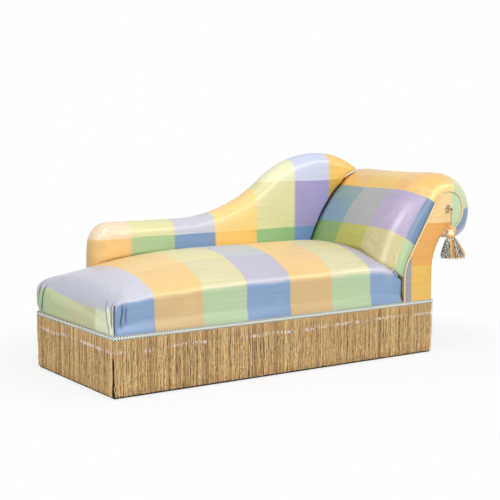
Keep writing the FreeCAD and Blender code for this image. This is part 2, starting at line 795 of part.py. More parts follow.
cover = size("cover_thick")
gap = size("soft_gap")
depth = size("base_depth")
rail_top = size("foot_height") + size("rail_tall")
cover_low = size("braid_height") - size("braid_wide") / 2
below = size("foot_height") / 2
above = size("hessian_level") + size("hessian_thick")

head_zone = [head_form(-gap), facing_prism(-gap, below, -1, depth + 1)]
behind = size("back_round")
behind_from = size("back_start") + behind - size("corner_round")
back_zone = [back_form(-gap, below), block_between((behind_from, back_front + behind, below),
                                                   (base_end, depth + behind, size("back_low_height")))]
facing_block = facing_prism(0, below, 0, depth)


def clear_of(shape, tools):
    for tool in tools:
        shape = shape.cut(tool)
    return shape


# The flat panel that closes the rear of the back, down to the braid.
panel_front = depth - cover
panel = back_prism(size("back_round"), rail_top, panel_front, depth)
foot_strip = block_between((size("back_start"), panel_front, cover_low), (base_end, depth, rail_top))
panel = panel.fuse(foot_strip).removeSplitter()
keep_shape("back_outer_panel", clear_of(panel, head_zone))

seat_end = facing_x - gap
seat_shell = seat_form(0, cover_low, seat_end).cut(seat_form(cover, cover_low, seat_end))
keep_shape("seat_cover", clear_of(seat_shell, head_zone + back_zone + [panel]))
seat_fill = seat_form(cover + gap, rail_top, seat_end)
spring_room = block_between((core_foot, core_front, below), (core_head, core_rear, above))
keep_shape("seat_stuffing", clear_of(seat_fill, [spring_room] + head_zone + back_zone))

# Back cover and its pad.
back_shell = back_form(0, rail_top).cut(back_form(cover, below))
keep_shape("back_cover", clear_of(back_shell, head_zone + [panel]))

frame_front = depth - cover - size("back_frame_thick")
web_front = frame_front - size("web_thick")
frame_room = back_prism(size("crest_rail_in"), below, web_front, depth)
keep_shape("back_stuffing", clear_of(back_form(cover + gap, rail_top), [frame_room] + head_zone))

# Back frame: bottom rail, curved top rail and three posts, with upright webbing in front.
rail_inner = back_prism(size("crest_rail_in") + gap, rail_top, frame_front, panel_front)
opening = back_prism(size("crest_rail_in") + size("crest_rail_tall"), below, frame_front - 1, depth)
bottom_tall = size("crest_rail_tall")
room = block_between((0, 0, rail_top), (base_end, depth, rail_top + bottom_tall))
keep_shape("back_bottom_rail", clear_of(rail_inner.common(room), head_zone))
post_low = rail_top + bottom_tall
post_top = 2 * size("crest_height")
above_rail = block_between((0, 0, post_low), (base_end + size("roll_radius"), depth, post_top))
hoop = clear_of(rail_inner.cut(opening).common(above_rail), head_zone)
post_wide = size("post_wide")
post_places = {
    "back_foot_post": size("back_start") + size("crest_rail_in") + post_wide / 2,
    "back_middle_post": (size("back_start") + facing_x) / 2,
    "back_head_post": facing_x - size("pad_full") - post_wide / 2,
}
post_slots = {}
for name, x in post_places.items():
    slot_top = post_top
    if name == "back_foot_post":
        slot_top = size("back_low_height") - size("back_end_radius")
    post_slots[name] = block_between((x - post_wide / 2 - 1, 0, post_low),
                                     (x + post_wide / 2, depth, slot_top))
keep_shape("back_top_rail", hoop.cut(post_slots["back_foot_post"]))
for name, slot in post_slots.items():
    if name == "back_foot_post":
        post = rail_inner.common(slot)
    else:
        post = rail_inner.common(slot).common(opening)
    keep_shape(name, post)

straps = []
for x in spread(size("back_start") + size("crest_rail_in"), post_places["back_head_post"], BACK_STRAPS):
    strip = block_between((x - size("web_wide") / 2, web_front, rail_top),
                          (x + size("web_wide") / 2, frame_front, size("crest_height")))
    straps.append(strip.common(back_prism(size("crest_rail_in") + gap, rail_top, web_front, frame_front)))
keep_shape("back_webbing", Part.makeCompound(straps))

# Head end frame: a shaped board behind each facing and three slats between the boards.
board = size("board_thick")
board_inset = cover + gap
keep_shape("front_scroll_board", facing_prism(board_inset, rail_top, cover, cover + board))
keep_shape("rear_scroll_board", facing_prism(board_inset, rail_top, depth - cover - board, depth - cover))
between_boards = facing_prism(board_inset, rail_top, cover + board, depth - cover - board)
scroll_top = size("scroll_height") + size("scroll_radius")
slat_places = {
    "head_top_slat": (scroll_x, scroll_top, size("slat_wide"), size("slat_tall")),
    "head_middle_slat": (facing_x + size("middle_slat_in"), size("middle_slat_height"), size("slat_wide"),
                         1.5 * size("slat_tall")),
    "head_low_slat": (facing_x + size("slat_wide") / 6, size("ledge_height"), size("slat_wide"),
                      2 * size("slat_tall")),
}
for name, (x, z, wide, tall) in slat_places.items():
    slab = block_between((x - wide / 2, cover, z - tall), (x + wide / 2, depth, z + tall / 2))
    keep_shape(name, between_boards.common(slab))


def pad_band(outer, inner):
    # The thin band along the pad side and over the scroll, between two insets.
    outside = facing_edges(outer, rail_top, 0)[0][:4]
    inside = facing_edges(inner, rail_top, 0)[0][:4]
    first = outside[1].valueAt(outside[1].FirstParameter)
    first_inner = inside[1].valueAt(inside[1].FirstParameter)
    last = outside[3].valueAt(outside[3].LastParameter)
    last_inner = inside[3].valueAt(inside[3].LastParameter)
    edges = outside[1:] + [line(last, last_inner)] + inside[1:] + [line(first_inner, first)]
    return Part.Face(Part.Wire(Part.__sortEdges__(edges)))


band = pad_band(gap, board_inset)
head_straps = []
for y in spread(cover + board, depth - cover - board, HEAD_STRAPS):
    strap = band.extrude(FreeCAD.Vector(0, size("web_wide"), 0))
    strap.translate(FreeCAD.Vector(0, y - size("web_wide") / 2, 0))
    head_straps.append(strap)
keep_shape("head_webbing", Part.makeCompound(head_straps))

# Head end cover, stuffing, facings and the outside panel.
keep_shape("head_cover", clear_of(head_form(0).cut(head_form(cover)), [facing_block]))
keep_shape("head_stuffing", clear_of(head_form(cover + gap), [facing_block]))
keep_shape("front_facing", facing_prism(0, cover_low, 0, cover))
keep_shape("rear_facing", facing_prism(0, cover_low, depth - cover, depth))
outside_edges = facing_edges(0, cover_low, cover)[1]
inside_edges = facing_edges(cover, cover_low, cover)[1]
joints = [line(outside_edges[0].valueAt(outside_edges[0].FirstParameter),
               inside_edges[0].valueAt(inside_edges[0].FirstParameter)),
          line(outside_edges[2].valueAt(outside_edges[2].LastParameter),
               inside_edges[2].valueAt(inside_edges[2].LastParameter))]
outside_face = Part.Face(Part.Wire(Part.__sortEdges__(outside_edges + inside_edges + joints)))
keep_shape("head_outer_panel", outside_face.extrude(FreeCAD.Vector(0, depth - 2 * cover, 0)))

# A padded roll closes the hollow where the scroll meets the outside panel.
tuck_out = size("scroll_radius") + size("tuck_radius")
tuck_x, tuck_z = on_circle(scroll_x, size("scroll_height"), tuck_out, FACING_TAIL)
tuck = Part.makeCylinder(size("tuck_radius"), depth - 2 * cover, FreeCAD.Vector(tuck_x, cover, tuck_z),
                         FreeCAD.Vector(0, 1, 0))
keep_shape("tuck_roll", clear_of(tuck, head_zone))


def piping(y):
    # A cord sewn along the seam of the facing, from the braid round the scroll to the neck.
    start_z = size("braid_height") + size("braid_wide") / 2 + gap
    lead = facing_edges(0, start_z, y)[0]
    path = Part.Wire(lead)
    start = FreeCAD.Vector(facing_x, y, start_z)
    ring = Part.Wire(Part.makeCircle(size("piping_radius"), start, FreeCAD.Vector(0, 0, 1)))
    return path.makePipeShell([ring], True, False)


stand = size("piping_radius") + gap
keep_shape("front_piping", piping(-stand))
keep_shape("rear_piping", piping(depth + stand))


# Braid, fringe and the dark lining behind the fringe, one straight piece on each side.

def trim_sides(label, out_rule, thick_rule, low_rule, tall_rule):
    # out_rule is how far the outer face stands outside the cover; long sides cap the short ones.
    long_x = f"Sizes.base_length + 2 * {out_rule}"
    short_y = f"Sizes.base_depth + 2 * {out_rule} - 2 * {thick_rule}"
    box_piece(f"front_{label}", (f"-{out_rule}", f"-{out_rule}", low_rule), (long_x, thick_rule, tall_rule))
    box_piece(f"back_{label}", (f"-{out_rule}", f"Sizes.base_depth + {out_rule} - {thick_rule}", low_rule),
              (long_x, thick_rule, tall_rule))
    box_piece(f"foot_end_{label}", (f"-{out_rule}", f"{thick_rule} - {out_rule}", low_rule),
              (thick_rule, short_y, tall_rule))
    box_piece(f"head_end_{label}", (f"Sizes.base_length + {out_rule} - {thick_rule}",
                                    f"{thick_rule} - {out_rule}", low_rule),
              (thick_rule, short_y, tall_rule))


BRAID_LOW = "(Sizes.braid_height - Sizes.braid_wide / 2)"
trim_sides("braid", "Sizes.braid_thick", "Sizes.braid_thick", BRAID_LOW, "Sizes.braid_wide")
trim_sides("fringe", "Sizes.trim_stand", "Sizes.fringe_thick", "Sizes.fringe_clear",
           f"{BRAID_LOW} - Sizes.fringe_clear")
trim_sides("skirt_lining", "(Sizes.lining_thick - Sizes.cover_thick)", "Sizes.lining_thick",
           "Sizes.lining_clear", f"{BRAID_LOW} - Sizes.lining_clear")


# The tassel: a rosette sewn on the facing, a ring on its shank, and the cord, head and skirt.

rosette_x = scroll_x - size("rosette_in")
rosette_z = size("scroll_height") + size("rosette_up")
hang_y = -size("hang_out")
shank_end = size("hang_out") + size("ring_wire_radius") + size("shank_spare")


def turned_shape(profile, middle, axis):
    # Turn an outline of (radius, place along the axis) corners about the axis.
    side = FreeCAD.Vector(1, 0, 0)
    corners = [middle + side * radius + axis * along for radius, along in profile]
    face = Part.Face(Part.makePolygon(corners + corners[:1]))
    return face.revolve(middle, axis, 360)


rosette_profile = [
    (0, 0),
    (size("rosette_radius"), 0),
    (size("rosette_radius"), size("rosette_thick") * 0.4),
    (size("rosette_radius") * 0.55, size("rosette_thick")),
    (size("shank_radius"), size("rosette_thick")),
    (size("shank_radius"), shank_end),
    (size("shank_radius") * 2, shank_end),
    (size("shank_radius") * 1.6, shank_end + size("shank_radius")),
    (0, shank_end + size("shank_radius")),
]
rosette_middle = FreeCAD.Vector(rosette_x, 0, rosette_z)
keep_shape("tassel_rosette", turned_shape(rosette_profile, rosette_middle, FreeCAD.Vector(0, -1, 0)))
ring_shape = Part.makeTorus(size("ring_radius"), size("ring_wire_radius"),
                            FreeCAD.Vector(rosette_x, hang_y, rosette_z), FreeCAD.Vector(0, 1, 0))
keep_shape("tassel_ring", ring_shape)
pivot_z = rosette_z - size("ring_radius") - size("ring_wire_radius") - gap - size("cord_radius")
pivot = FreeCAD.Vector(rosette_x, hang_y, pivot_z)
down = FreeCAD.Vector(0, 0, -1)
cord = Part.makeCylinder(size("cord_radius"), size("cord_length") + size("cord_in_head"), pivot, down)
keep_shape("tassel_cord", cord.fuse(Part.makeSphere(size("cord_radius"), pivot)).removeSplitter())
head_top = pivot + down * size("cord_length")
head_long = size("tassel_head_long")
head_profile = [
    (0, 0),
    (size("tassel_neck_radius"), 0),
    (blend(size("tassel_neck_radius"), size("tassel_head_radius"), 0.35), head_long * 0.25),
    (blend(size("tassel_neck_radius"), size("tassel_head_radius"), 0.9), head_long * 0.7),
    (size("tassel_head_radius"), head_long),
    (0, head_long),
]
bore = Part.makeCylinder(size("cord_radius"), size("cord_in_head"), head_top, down)
keep_shape("tassel_head", turned_shape(head_profile, head_top, down).cut(bore))
skirt_top = head_top + down * head_long
skirt_profile = [
    (0, 0),
    (size("tassel_head_radius") - 1, 0),
    (blend(size("tassel_head_radius"), size("skirt_radius"), 0.4), size("skirt_long") * 0.5),
    (size("skirt_radius"), size("skirt_long")),
    (0, size("skirt_long")),
]
skirt = turned_shape(skirt_profile, skirt_top, down)
flat_back = block_between((facing_x, -size("skirt_stand"), 0),
                          (base_end + size("roll_radius"), depth, rosette_z))
keep_shape("tassel_skirt", skirt.cut(flat_back))
print("tassel pivot, bench frame", [round(value, 3) for value in pivot])
print("tassel pivot, part frame", [round(value, 3) for value in home.multVec(pivot)])
ring_axis = home.multVec(FreeCAD.Vector(rosette_x, hang_y, rosette_z))
print("ring axis, part frame", [round(value, 3) for value in ring_axis])
print("tassel cord length", size("cord_length") + size("cord_in_head"), "mm, one straight run")

doc.recompute()
for item in doc.Objects:
    if "Invalid" in item.State or "Error" in item.State:
        raise RuntimeError(f"{item.Label} failed: {item.State}")
os.makedirs("parts", exist_ok=True)
faulty = [item.Label for item in pieces
          if item.Shape.isNull() or not item.Shape.isValid() or not item.Shape.Solids]
if faulty:
    raise RuntimeError(f"no valid shape: {faulty}")
for item in pieces:
    item.Shape.exportStep(f"parts/{item.Label}.step")
whole = Part.makeCompound([item.Shape for item in pieces]).BoundBox
print(len(pieces), "pieces, box", [round(value, 2) for value in
                                   (whole.XMin, whole.XMax, whole.YMin, whole.YMax, whole.ZMin, whole.ZMax)])
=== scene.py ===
import bpy
import json
import math
import random
import numpy as np
from mathutils import Matrix, Vector, noise
from mathutils.bvhtree import BVHTree


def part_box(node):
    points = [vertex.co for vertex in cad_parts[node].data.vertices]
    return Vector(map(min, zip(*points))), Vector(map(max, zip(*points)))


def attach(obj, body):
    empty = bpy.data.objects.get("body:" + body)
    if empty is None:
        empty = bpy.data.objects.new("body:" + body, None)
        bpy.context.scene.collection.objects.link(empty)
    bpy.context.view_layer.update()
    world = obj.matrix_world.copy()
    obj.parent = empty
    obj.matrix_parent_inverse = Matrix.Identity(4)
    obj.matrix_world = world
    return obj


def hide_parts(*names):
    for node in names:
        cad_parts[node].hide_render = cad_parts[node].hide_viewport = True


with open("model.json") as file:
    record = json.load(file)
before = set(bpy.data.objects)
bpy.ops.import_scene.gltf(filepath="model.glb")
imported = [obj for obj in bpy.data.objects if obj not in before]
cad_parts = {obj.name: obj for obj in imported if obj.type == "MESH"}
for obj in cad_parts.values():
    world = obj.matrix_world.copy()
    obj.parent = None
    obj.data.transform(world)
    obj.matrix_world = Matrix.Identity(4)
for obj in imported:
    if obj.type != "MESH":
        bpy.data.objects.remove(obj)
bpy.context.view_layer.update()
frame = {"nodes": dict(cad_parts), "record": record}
nodes = frame["nodes"]
print("stage: frame loaded,", len(nodes), "nodes")

# The seat cover's low corner is where the base starts; lengths below are measured from it.
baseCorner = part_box("seat_cover")[0]
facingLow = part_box("front_facing")[0]
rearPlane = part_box("rear_facing")[1].y
baseDepth = rearPlane - facingLow.y
baseLength = 1.6
baseEnd = baseCorner.x + baseLength
# the four sides that the trim runs along, as the nodes and the pieces name them
sides = {"front": "front", "back": "back", "foot_end": "footEnd", "head_end": "headEnd"}


def place(x, y, z):
    return Vector((baseCorner.x + x, facingLow.y + y, z))


# Small helpers, used by every piece.

def deselect():
    if bpy.context.object and bpy.context.object.mode != "OBJECT":
        bpy.ops.object.mode_set(mode="OBJECT")
    bpy.ops.object.select_all(action="DESELECT")


def makeActive(piece):
    deselect()
    piece.select_set(True)
    bpy.context.view_layer.objects.active = piece


def readVerts(piece, what):
    found = np.empty(len(piece.data.vertices) * 3)
    piece.data.vertices.foreach_get(what, found)
    return found.reshape(-1, 3)


def points(piece):
    return readVerts(piece, "co")


def normals(piece):
    return readVerts(piece, "normal")


def setPoints(piece, found):
    piece.data.vertices.foreach_set("co", np.ascontiguousarray(found, dtype=float).ravel())
    piece.data.update()


def setAttribute(piece, name, values, kind="FLOAT"):
    attribute = piece.data.attributes.new(name, kind, "POINT")
    attribute.data.foreach_set("value" if kind == "FLOAT" else "vector", np.ravel(values))


def applyPlace(piece):
    makeActive(piece)
    bpy.ops.object.transform_apply(location=True, rotation=True, scale=True)


def applied(piece, kind, **settings):
    # Adds one modifier and applies it.
    modifier = piece.modifiers.new(kind.lower(), kind)
    for name, value in settings.items():
        setattr(modifier, name, value)
    makeActive(piece)
    bpy.ops.object.modifier_apply(modifier=modifier.name)


def editAll(piece):
    makeActive(piece)
    bpy.ops.object.mode_set(mode="EDIT")
    bpy.ops.mesh.select_all(action="SELECT")


def leaveEdit():
    bpy.ops.object.mode_set(mode="OBJECT")


def selectSome(piece, kind, wanted):
    # wanted is a mask over the vertices or faces; leaves the piece in edit mode with them selected.
    makeActive(piece)
    bpy.ops.object.mode_set(mode="EDIT")
    bpy.ops.mesh.select_mode(type=kind)
    bpy.ops.mesh.select_all(action="DESELECT")
    leaveEdit()
    items = piece.data.vertices if kind == "VERT" else piece.data.polygons
    items.foreach_set("select", np.asarray(wanted, dtype=bool))
    bpy.ops.object.mode_set(mode="EDIT")


def selectFacing(piece, outward, least=0.9):
    outward = Vector(outward)
    selectSome(piece, "FACE", [polygon.normal.dot(outward) > least for polygon in piece.data.polygons])


def cleanUp(piece):
    editAll(piece)
    bpy.ops.mesh.remove_doubles(threshold=0.00002)
    bpy.ops.mesh.normals_make_consistent(inside=False)
    leaveEdit()


def smoothShade(piece, degrees):
    makeActive(piece)
    bpy.ops.object.shade_smooth_by_angle(angle=math.radians(degrees))


def smoothAll(piece):
    makeActive(piece)
    bpy.ops.object.shade_smooth()


def linked(label, data):
    item = bpy.data.objects.new(label, data)
    bpy.context.scene.collection.objects.link(item)
    return item


def copyOfNode(name, label):
    # The solid's own shape as a mesh to work on, with its loose triangles merged.
    piece = linked(label, nodes[name].data.copy())
    piece.data.materials.clear()
    cleanUp(piece)
    return piece


def joined(label, parts):
    deselect()
    for part in parts:
        part.select_set(True)
    bpy.context.view_layer.objects.active = parts[0]
    bpy.ops.object.join()
    parts[0].name = label
    parts[0].data.name = label
    return parts[0]


def block(low, high):
    # A plain box between two corners, only ever a start for something else.
    deselect()
    bpy.ops.mesh.primitive_cube_add(size=1, location=(Vector(low) + Vector(high)) / 2)
    piece = bpy.context.object
    piece.scale = Vector(high) - Vector(low)
    applyPlace(piece)
    return piece


def threadPiece(label, verts, faces, tones):
    # A mesh from its points and faces, with the tone of each point's thread.
    mesh = bpy.data.meshes.new(label)
    mesh.from_pydata([tuple(vert) for vert in verts], [], faces)
    piece = linked(label, mesh)
    setAttribute(piece, "threadTone", tones)
    return piece


def copiesPiece(label, copies, faces, tones):
    # One mesh of many copies of a shape: the points and the tone of each copy, and the faces they share.
    size = len(copies[0])
    allFaces = []
    for index in range(len(copies)):
        allFaces += [tuple(corner + size * index for corner in face) for face in faces]
    return threadPiece(label, np.concatenate(copies), allFaces, np.repeat(tones, size))


def finish(piece, body, material, slot, replaced):
    if material is not None and not piece.data.materials:
        piece.data.materials.append(material)
    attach(piece, body)
    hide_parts(*replaced)
    return piece


def finishPadded(piece, material, replaced):
    return finish(piece, "root", material, "checked_silk", replaced)


# Camera, floor and light.

photo = {"wide": 500, "focal": 1155.57, "eye": (-1.9545, -3.8151, 1.0724), "turn": 33.97, "dip": 6.70}

cameraData = bpy.data.cameras.new("camera")
cameraData.sensor_width = 36
cameraData.lens = photo["focal"] / photo["wide"] * cameraData.sensor_width
camera = linked("camera", cameraData)
camera.location = place(*photo["eye"])
camera.rotation_euler = (math.radians(90 - photo["dip"]), 0, math.radians(-photo["turn"]))
bpy.context.scene.camera = camera
bpy.context.scene.view_settings.view_transform = "Standard"

# each lamp: where it stands, what it points at, how wide and tall it is, and its watts
studio = {"floorSize": 24, "floorTone": 0.9, "fadeFrom": 0.9, "fadeTo": 1.6, "skyLight": 0.42,
          "leastWhite": 0.80,
          "lamps": {"above": ((-1.05, -1.1, 2.75), (0.3, 0, 0.5), (0.9, 0.9), 24),
                    "strip": ((1.7, -2.3, 2.15), (-0.1, -0.35, 0.37), (3.0, 0.6), 32),
                    "left": ((-3.2, -1.6, 2.3), (0.2, 0, 0.5), (1.2, 1.2), 36),
                    "front": ((0.9, -4.6, 1.7), (0, 0, 0.4), (2.4, 2.4), 28)}}


def addNode(tree, kind, inputs=(), **settings):
    # inputs gives sockets, by name or number, a value or another node's output.
    node = tree.nodes.new(kind)
    for name, value in settings.items():
        setattr(node, name, value)
    for socket, value in dict(inputs).items():
        if isinstance(value, bpy.types.NodeSocket):
            tree.links.new(value, node.inputs[socket])
        else:
            node.inputs[socket].default_value = value
    return node


def makeFloor():
    # Pale near the object, so that its shadow shows, and white further out where the camera sees it.
    deselect()
    bpy.ops.mesh.primitive_plane_add(size=studio["floorSize"], location=(0, 0, 0))
    floor = bpy.context.object
    floor.name = "floor"
    material = bpy.data.materials.new("paleFloor")
    material.use_nodes = True
    tree = material.node_tree
    tree.nodes.clear()
    matte = addNode(tree, "ShaderNodeBsdfDiffuse", {"Color": (studio["floorTone"],) * 3 + (1,)})
    white = addNode(tree, "ShaderNodeEmission")
    where = addNode(tree, "ShaderNodeTexCoord")
    far = addNode(tree, "ShaderNodeVectorMath", {0: where.outputs["Object"]}, operation="LENGTH")
    fade = addNode(tree, "ShaderNodeMapRange", {"Value": far.outputs["Value"], "From Min": studio["fadeFrom"],
                                                "From Max": studio["fadeTo"], "To Min": studio["leastWhite"]},
                   interpolation_type="SMOOTHSTEP")
    rays = addNode(tree, "ShaderNodeLightPath")
    seen = addNode(tree, "ShaderNodeMath", {0: fade.outputs["Result"], 1: rays.outputs["Is Camera Ray"]},
                   operation="MULTIPLY")
    mix = addNode(tree, "ShaderNodeMixShader", {0: seen.outputs["Value"], 1: matte.outputs["BSDF"],
                                                2: white.outputs["Emission"]})
    addNode(tree, "ShaderNodeOutputMaterial", {"Surface": mix.outputs["Shader"]})
    floor.data.materials.append(material)


def makeSky():
    # A soft light from all round, which the camera, gloss and glass see as white.
    world = bpy.data.worlds.new("studio")
    bpy.context.scene.world = world
    world.use_nodes = True
    tree = world.node_tree
    tree.nodes.clear()
    rays = addNode(tree, "ShaderNodeLightPath").outputs
    shiny = addNode(tree, "ShaderNodeMath", {0: rays["Is Glossy Ray"], 1: rays["Is Transmission Ray"]},
                    operation="MAXIMUM")
    direct = addNode(tree, "ShaderNodeMath", {0: rays["Is Camera Ray"], 1: shiny.outputs["Value"]},
                     operation="MAXIMUM")
    level = addNode(tree, "ShaderNodeMapRange", {"Value": direct.outputs["Value"], "To Max": 1,
                                                 "To Min": studio["skyLight"]})
    sky = addNode(tree, "ShaderNodeBackground", {"Color": (1, 1, 1, 1), "Strength": level.outputs["Result"]})
    addNode(tree, "ShaderNodeOutputWorld", {"Surface": sky.outputs["Background"]})


def makeLamps():
    for name, (spot, target, wide, watts) in studio["lamps"].items():
        lampData = bpy.data.lights.new(name, "AREA")
        lampData.shape = "RECTANGLE"
        lampData.size, lampData.size_y = wide
        lampData.energy = watts
        lamp = linked(name, lampData)
        lamp.location = spot
        lamp.rotation_euler = (Vector(target) - Vector(spot)).to_track_quat("-Z", "Y").to_euler()


makeFloor()
makeSky()
makeLamps()
print("stage: studio ready")


# Finishes.

def shade(red, green, blue):
    # A colour as it is read off a picture, 0 to 255, in the light's own scale.
    def level(value):
        value = value / 255
        return value / 12.92 if value <= 0.04045 else ((value + 0.055) / 1.055) ** 2.4
    return (level(red), level(green), level(blue), 1)


def shades(*rows):
    # Each row is a place from 0 to 1 and the colour there.
    return [(at, shade(red, green, blue)) for at, red, green, blue in rows]


class Finish:
    # A material under construction, with short ways to add its nodes.
    def __init__(self, name, roughness, specular=0.5, sheen=0.0, metallic=0.0):
        self.material = bpy.data.materials.new(name)
        self.material.use_nodes = True
        self.tree = self.material.node_tree
        self.shader = self.tree.nodes["Principled BSDF"]
        values = {"Roughness": roughness, "Specular IOR Level": specular, "Metallic": metallic,
                  "Sheen Weight": sheen, "Sheen Roughness": 0.35}
        for socket, value in values.items():
            self.shader.inputs[socket].default_value = value
        self.where = self.add("ShaderNodeTexCoord").outputs["Object"]
        self.x, self.y, self.z = self.axes(self.where)

    def add(self, kind, inputs=(), **settings):
        return addNode(self.tree, kind, inputs, **settings)

    def axes(self, vector):
        outputs = self.add("ShaderNodeSeparateXYZ", {"Vector": vector}).outputs
        return outputs["X"], outputs["Y"], outputs["Z"]

    def attribute(self, name, kind="Fac"):
        return self.add("ShaderNodeAttribute", attribute_name=name).outputs[kind]

    def math(self, operation, first, second=0.0):
        return self.add("ShaderNodeMath", {0: first, 1: second}, operation=operation).outputs["Value"]

    def plus(self, first, second):
        return self.math("ADD", first, second)

    def minus(self, first, second):
        return self.math("SUBTRACT", first, second)

    def times(self, first, second):
        return self.math("MULTIPLY", first, second)

    def opposite(self, share):
        return self.minus(1.0, share)

    def step(self, value, edge, soft=0.002):
        # 0 below the edge and 1 above it, with a soft change between.
        inputs = {"Value": value, "From Min": edge - soft, "From Max": edge + soft}
        node = self.add("ShaderNodeMapRange", inputs, interpolation_type="SMOOTHSTEP")
        return node.outputs["Result"]

    def between(self, value, low, lowSoft, high, highSoft):
        return self.times(self.step(value, low, lowSoft), self.opposite(self.step(value, high, highSoft)))

    def mix(self, share, first, second, blend="MIX"):
        # sockets 0, 6 and 7 are the share and the two colours
        return self.add("ShaderNodeMix", {0: share, 6: first, 7: second}, data_type="RGBA",
                        blend_type=blend).outputs[2]

    def scaled(self, colour, tone):
        node = self.add("ShaderNodeVectorMath", {0: colour, "Scale": tone}, operation="SCALE")
        return node.outputs["Vector"]

    def grain(self, scale, detail=2.0, rough=0.5):
        # Noise whose scale differs along the three axes.
        mapping = self.add("ShaderNodeMapping", {"Vector": self.where, "Scale": scale})
        node = self.add("ShaderNodeTexNoise", {"Vector": mapping.outputs["Vector"], "Scale": 1,
                                               "Detail": detail, "Roughness": rough})
        return node.outputs["Fac"]

    def threads(self, length, along, across, detail=2.0, rough=0.5):
        # Noise drawn out along one axis.
        return self.grain(tuple(along if axis == length else across for axis in "xyz"), detail, rough)

    def ramp(self, value, stops):
        node = self.add("ShaderNodeValToRGB", {"Fac": value})
        elements = node.color_ramp.elements
        while len(elements) > 1:
            elements.remove(elements[-1])
        elements[0].position, elements[0].color = stops[0]
        for position, colour in stops[1:]:
            elements.new(position).color = colour
        return node.outputs["Color"]

    def bands(self, value, edges, colours, soft=0.0018):
        # Stripes along a length: colours[i] lies before edges[i], the last after them all.
        low, high = edges[0] - 0.3, edges[-1] + 0.3
        spread = self.add("ShaderNodeMapRange", {"Value": value, "From Min": low, "From Max": high})
        stops = [(0, colours[0])]
        for edge, before, after in zip(edges, colours, colours[1:]):
            stops.append(((edge - soft - low) / (high - low), before))
            stops.append(((edge + soft - low) / (high - low), after))
        return self.ramp(spread.outputs["Result"], stops)

    def bump(self, height, strength, distance):
        node = self.add("ShaderNodeBump", {"Height": height, "Strength": strength, "Distance": distance})
        self.tree.links.new(node.outputs["Normal"], self.shader.inputs["Normal"])

    def colour(self, value):
        self.tree.links.new(value, self.shader.inputs["Base Color"])
        return self.material

    def colourSoFar(self):
        return self.shader.inputs["Base Color"].links[0].from_socket


# The cloth is a taffeta woven in large checks: each colour is a stripe crossed by a band.
silk = {"blue": shade(124, 151, 187), "tan": shade(206, 173, 119), "green": shade(173, 195, 155),
        "lavender": shade(201, 201, 213), "orange": shade(236, 196, 129), "lime": shade(216, 209, 162),
        "paleLavender": shade(204, 210, 234), "paleOrange": shade(243, 217, 184),
        "paleLime": shade(234, 234, 192), "cloud": shade(186, 194, 204), "honey": shade(240, 202, 132),
        "pear": shade(222, 216, 152), "freshGreen": shade(171, 196, 148),
        "deepGreen": shade(147, 187, 131), "deepBlue": shade(115, 150, 200),
        "purple": shade(163, 153, 200), "sun": shade(247, 212, 135), "straw": shade(222, 219, 164),
        "teal": shade(130, 164, 174), "grey": shade(170, 172, 172), "lilac": shade(178, 166, 194),
        "sand": shade(203, 192, 139), "leaf": shade(140, 174, 99), "olive": shade(185, 186, 91),
        "gold": shade(226, 184, 82), "rust": shade(229, 167, 84), "cream": shade(240, 205, 145),
        "greyLavender": shade(152, 151, 155), "darkBlue": shade(106, 134, 166), "mint": shade(192, 210, 170),
        "brightOrange": shade(240, 192, 114), "ochre": shade(213, 170, 72), "mauve": shade(185, 182, 198),
        "amber": shade(240, 199, 104), "moss": shade(206, 206, 140), "slate": shade(186, 192, 200),
        "blush": shade(236, 208, 192), "footLime": shade(228, 233, 196), "footStraw": shade(203, 203, 154),
        "footGreen": shade(194, 210, 154), "footMint": shade(180, 202, 168), "foldGrey": shade(196, 198, 208),
        # crease: not a colour of the cloth but the painted shade laid into the seat's creases
        "sliver": shade(252, 206, 130), "fold": shade(186, 188, 202), "crease": shade(36, 44, 56)}
silkShine = {"roughness": 0.32, "specular": 0.8, "sheen": 0.1}

# how finely threads and slubs lie, and how much each of them shades the cloth
cloth = {"threadLong": 12, "threadFine": 420, "slubLong": 5, "slubFine": 130, "cloudScale": 2.6,
         "threads": 0.10, "slubs": 0.20, "clouds": 0.05, "tone": 0.775, "slubHeight": 0.8,
         "relief": 0.12, "reliefDepth": 0.0008, "driftScale": 7}


def weave(finish, colour, length, across):
    # Fine threads both ways, slubs along one of them, a soft unevenness and a slight relief.
    longThreads = finish.threads(length, cloth["threadLong"], cloth["threadFine"])
    crossThreads = finish.threads(across, cloth["threadLong"], cloth["threadFine"])
    slubs = finish.threads(length, cloth["slubLong"], cloth["slubFine"], detail=1)
    cloud = finish.grain((cloth["cloudScale"],) * 3, detail=1)
    tone = finish.plus(finish.times(longThreads, cloth["threads"]),
                       finish.times(crossThreads, cloth["threads"]))
    tone = finish.plus(tone, finish.times(slubs, cloth["slubs"]))
    tone = finish.plus(tone, finish.times(cloud, cloth["clouds"]))
    tone = finish.plus(tone, cloth["tone"])
    height = finish.plus(finish.plus(longThreads, crossThreads), finish.times(slubs, cloth["slubHeight"]))
    finish.bump(height, cloth["relief"], cloth["reliefDepth"])
    return finish.colour(finish.scaled(colour, tone))


def wobble(finish, value, amount=0.006):
    # Woven lines are never quite straight.
    drift = finish.grain((cloth["driftScale"],) * 3, detail=1)
    return finish.plus(value, finish.times(finish.minus(drift, 0.5), amount))


def checks(finish, value, edges, rows, crossed=None, levels=()):
    # Stripes along value; each further row of colours takes over past its level of the crossed length.
    colour = None
    for row, level in zip(rows, [None, *levels]):
        stripes = finish.bands(value, edges, [silk[name] for name in row])
        colour = stripes if level is None else finish.mix(finish.step(crossed, level), colour, stripes)
    return colour


def fromCorner(*edges):
    return [baseCorner.x + edge for edge in edges]


def fromFront(*edges):
    return [facingLow.y + edge for edge in edges]


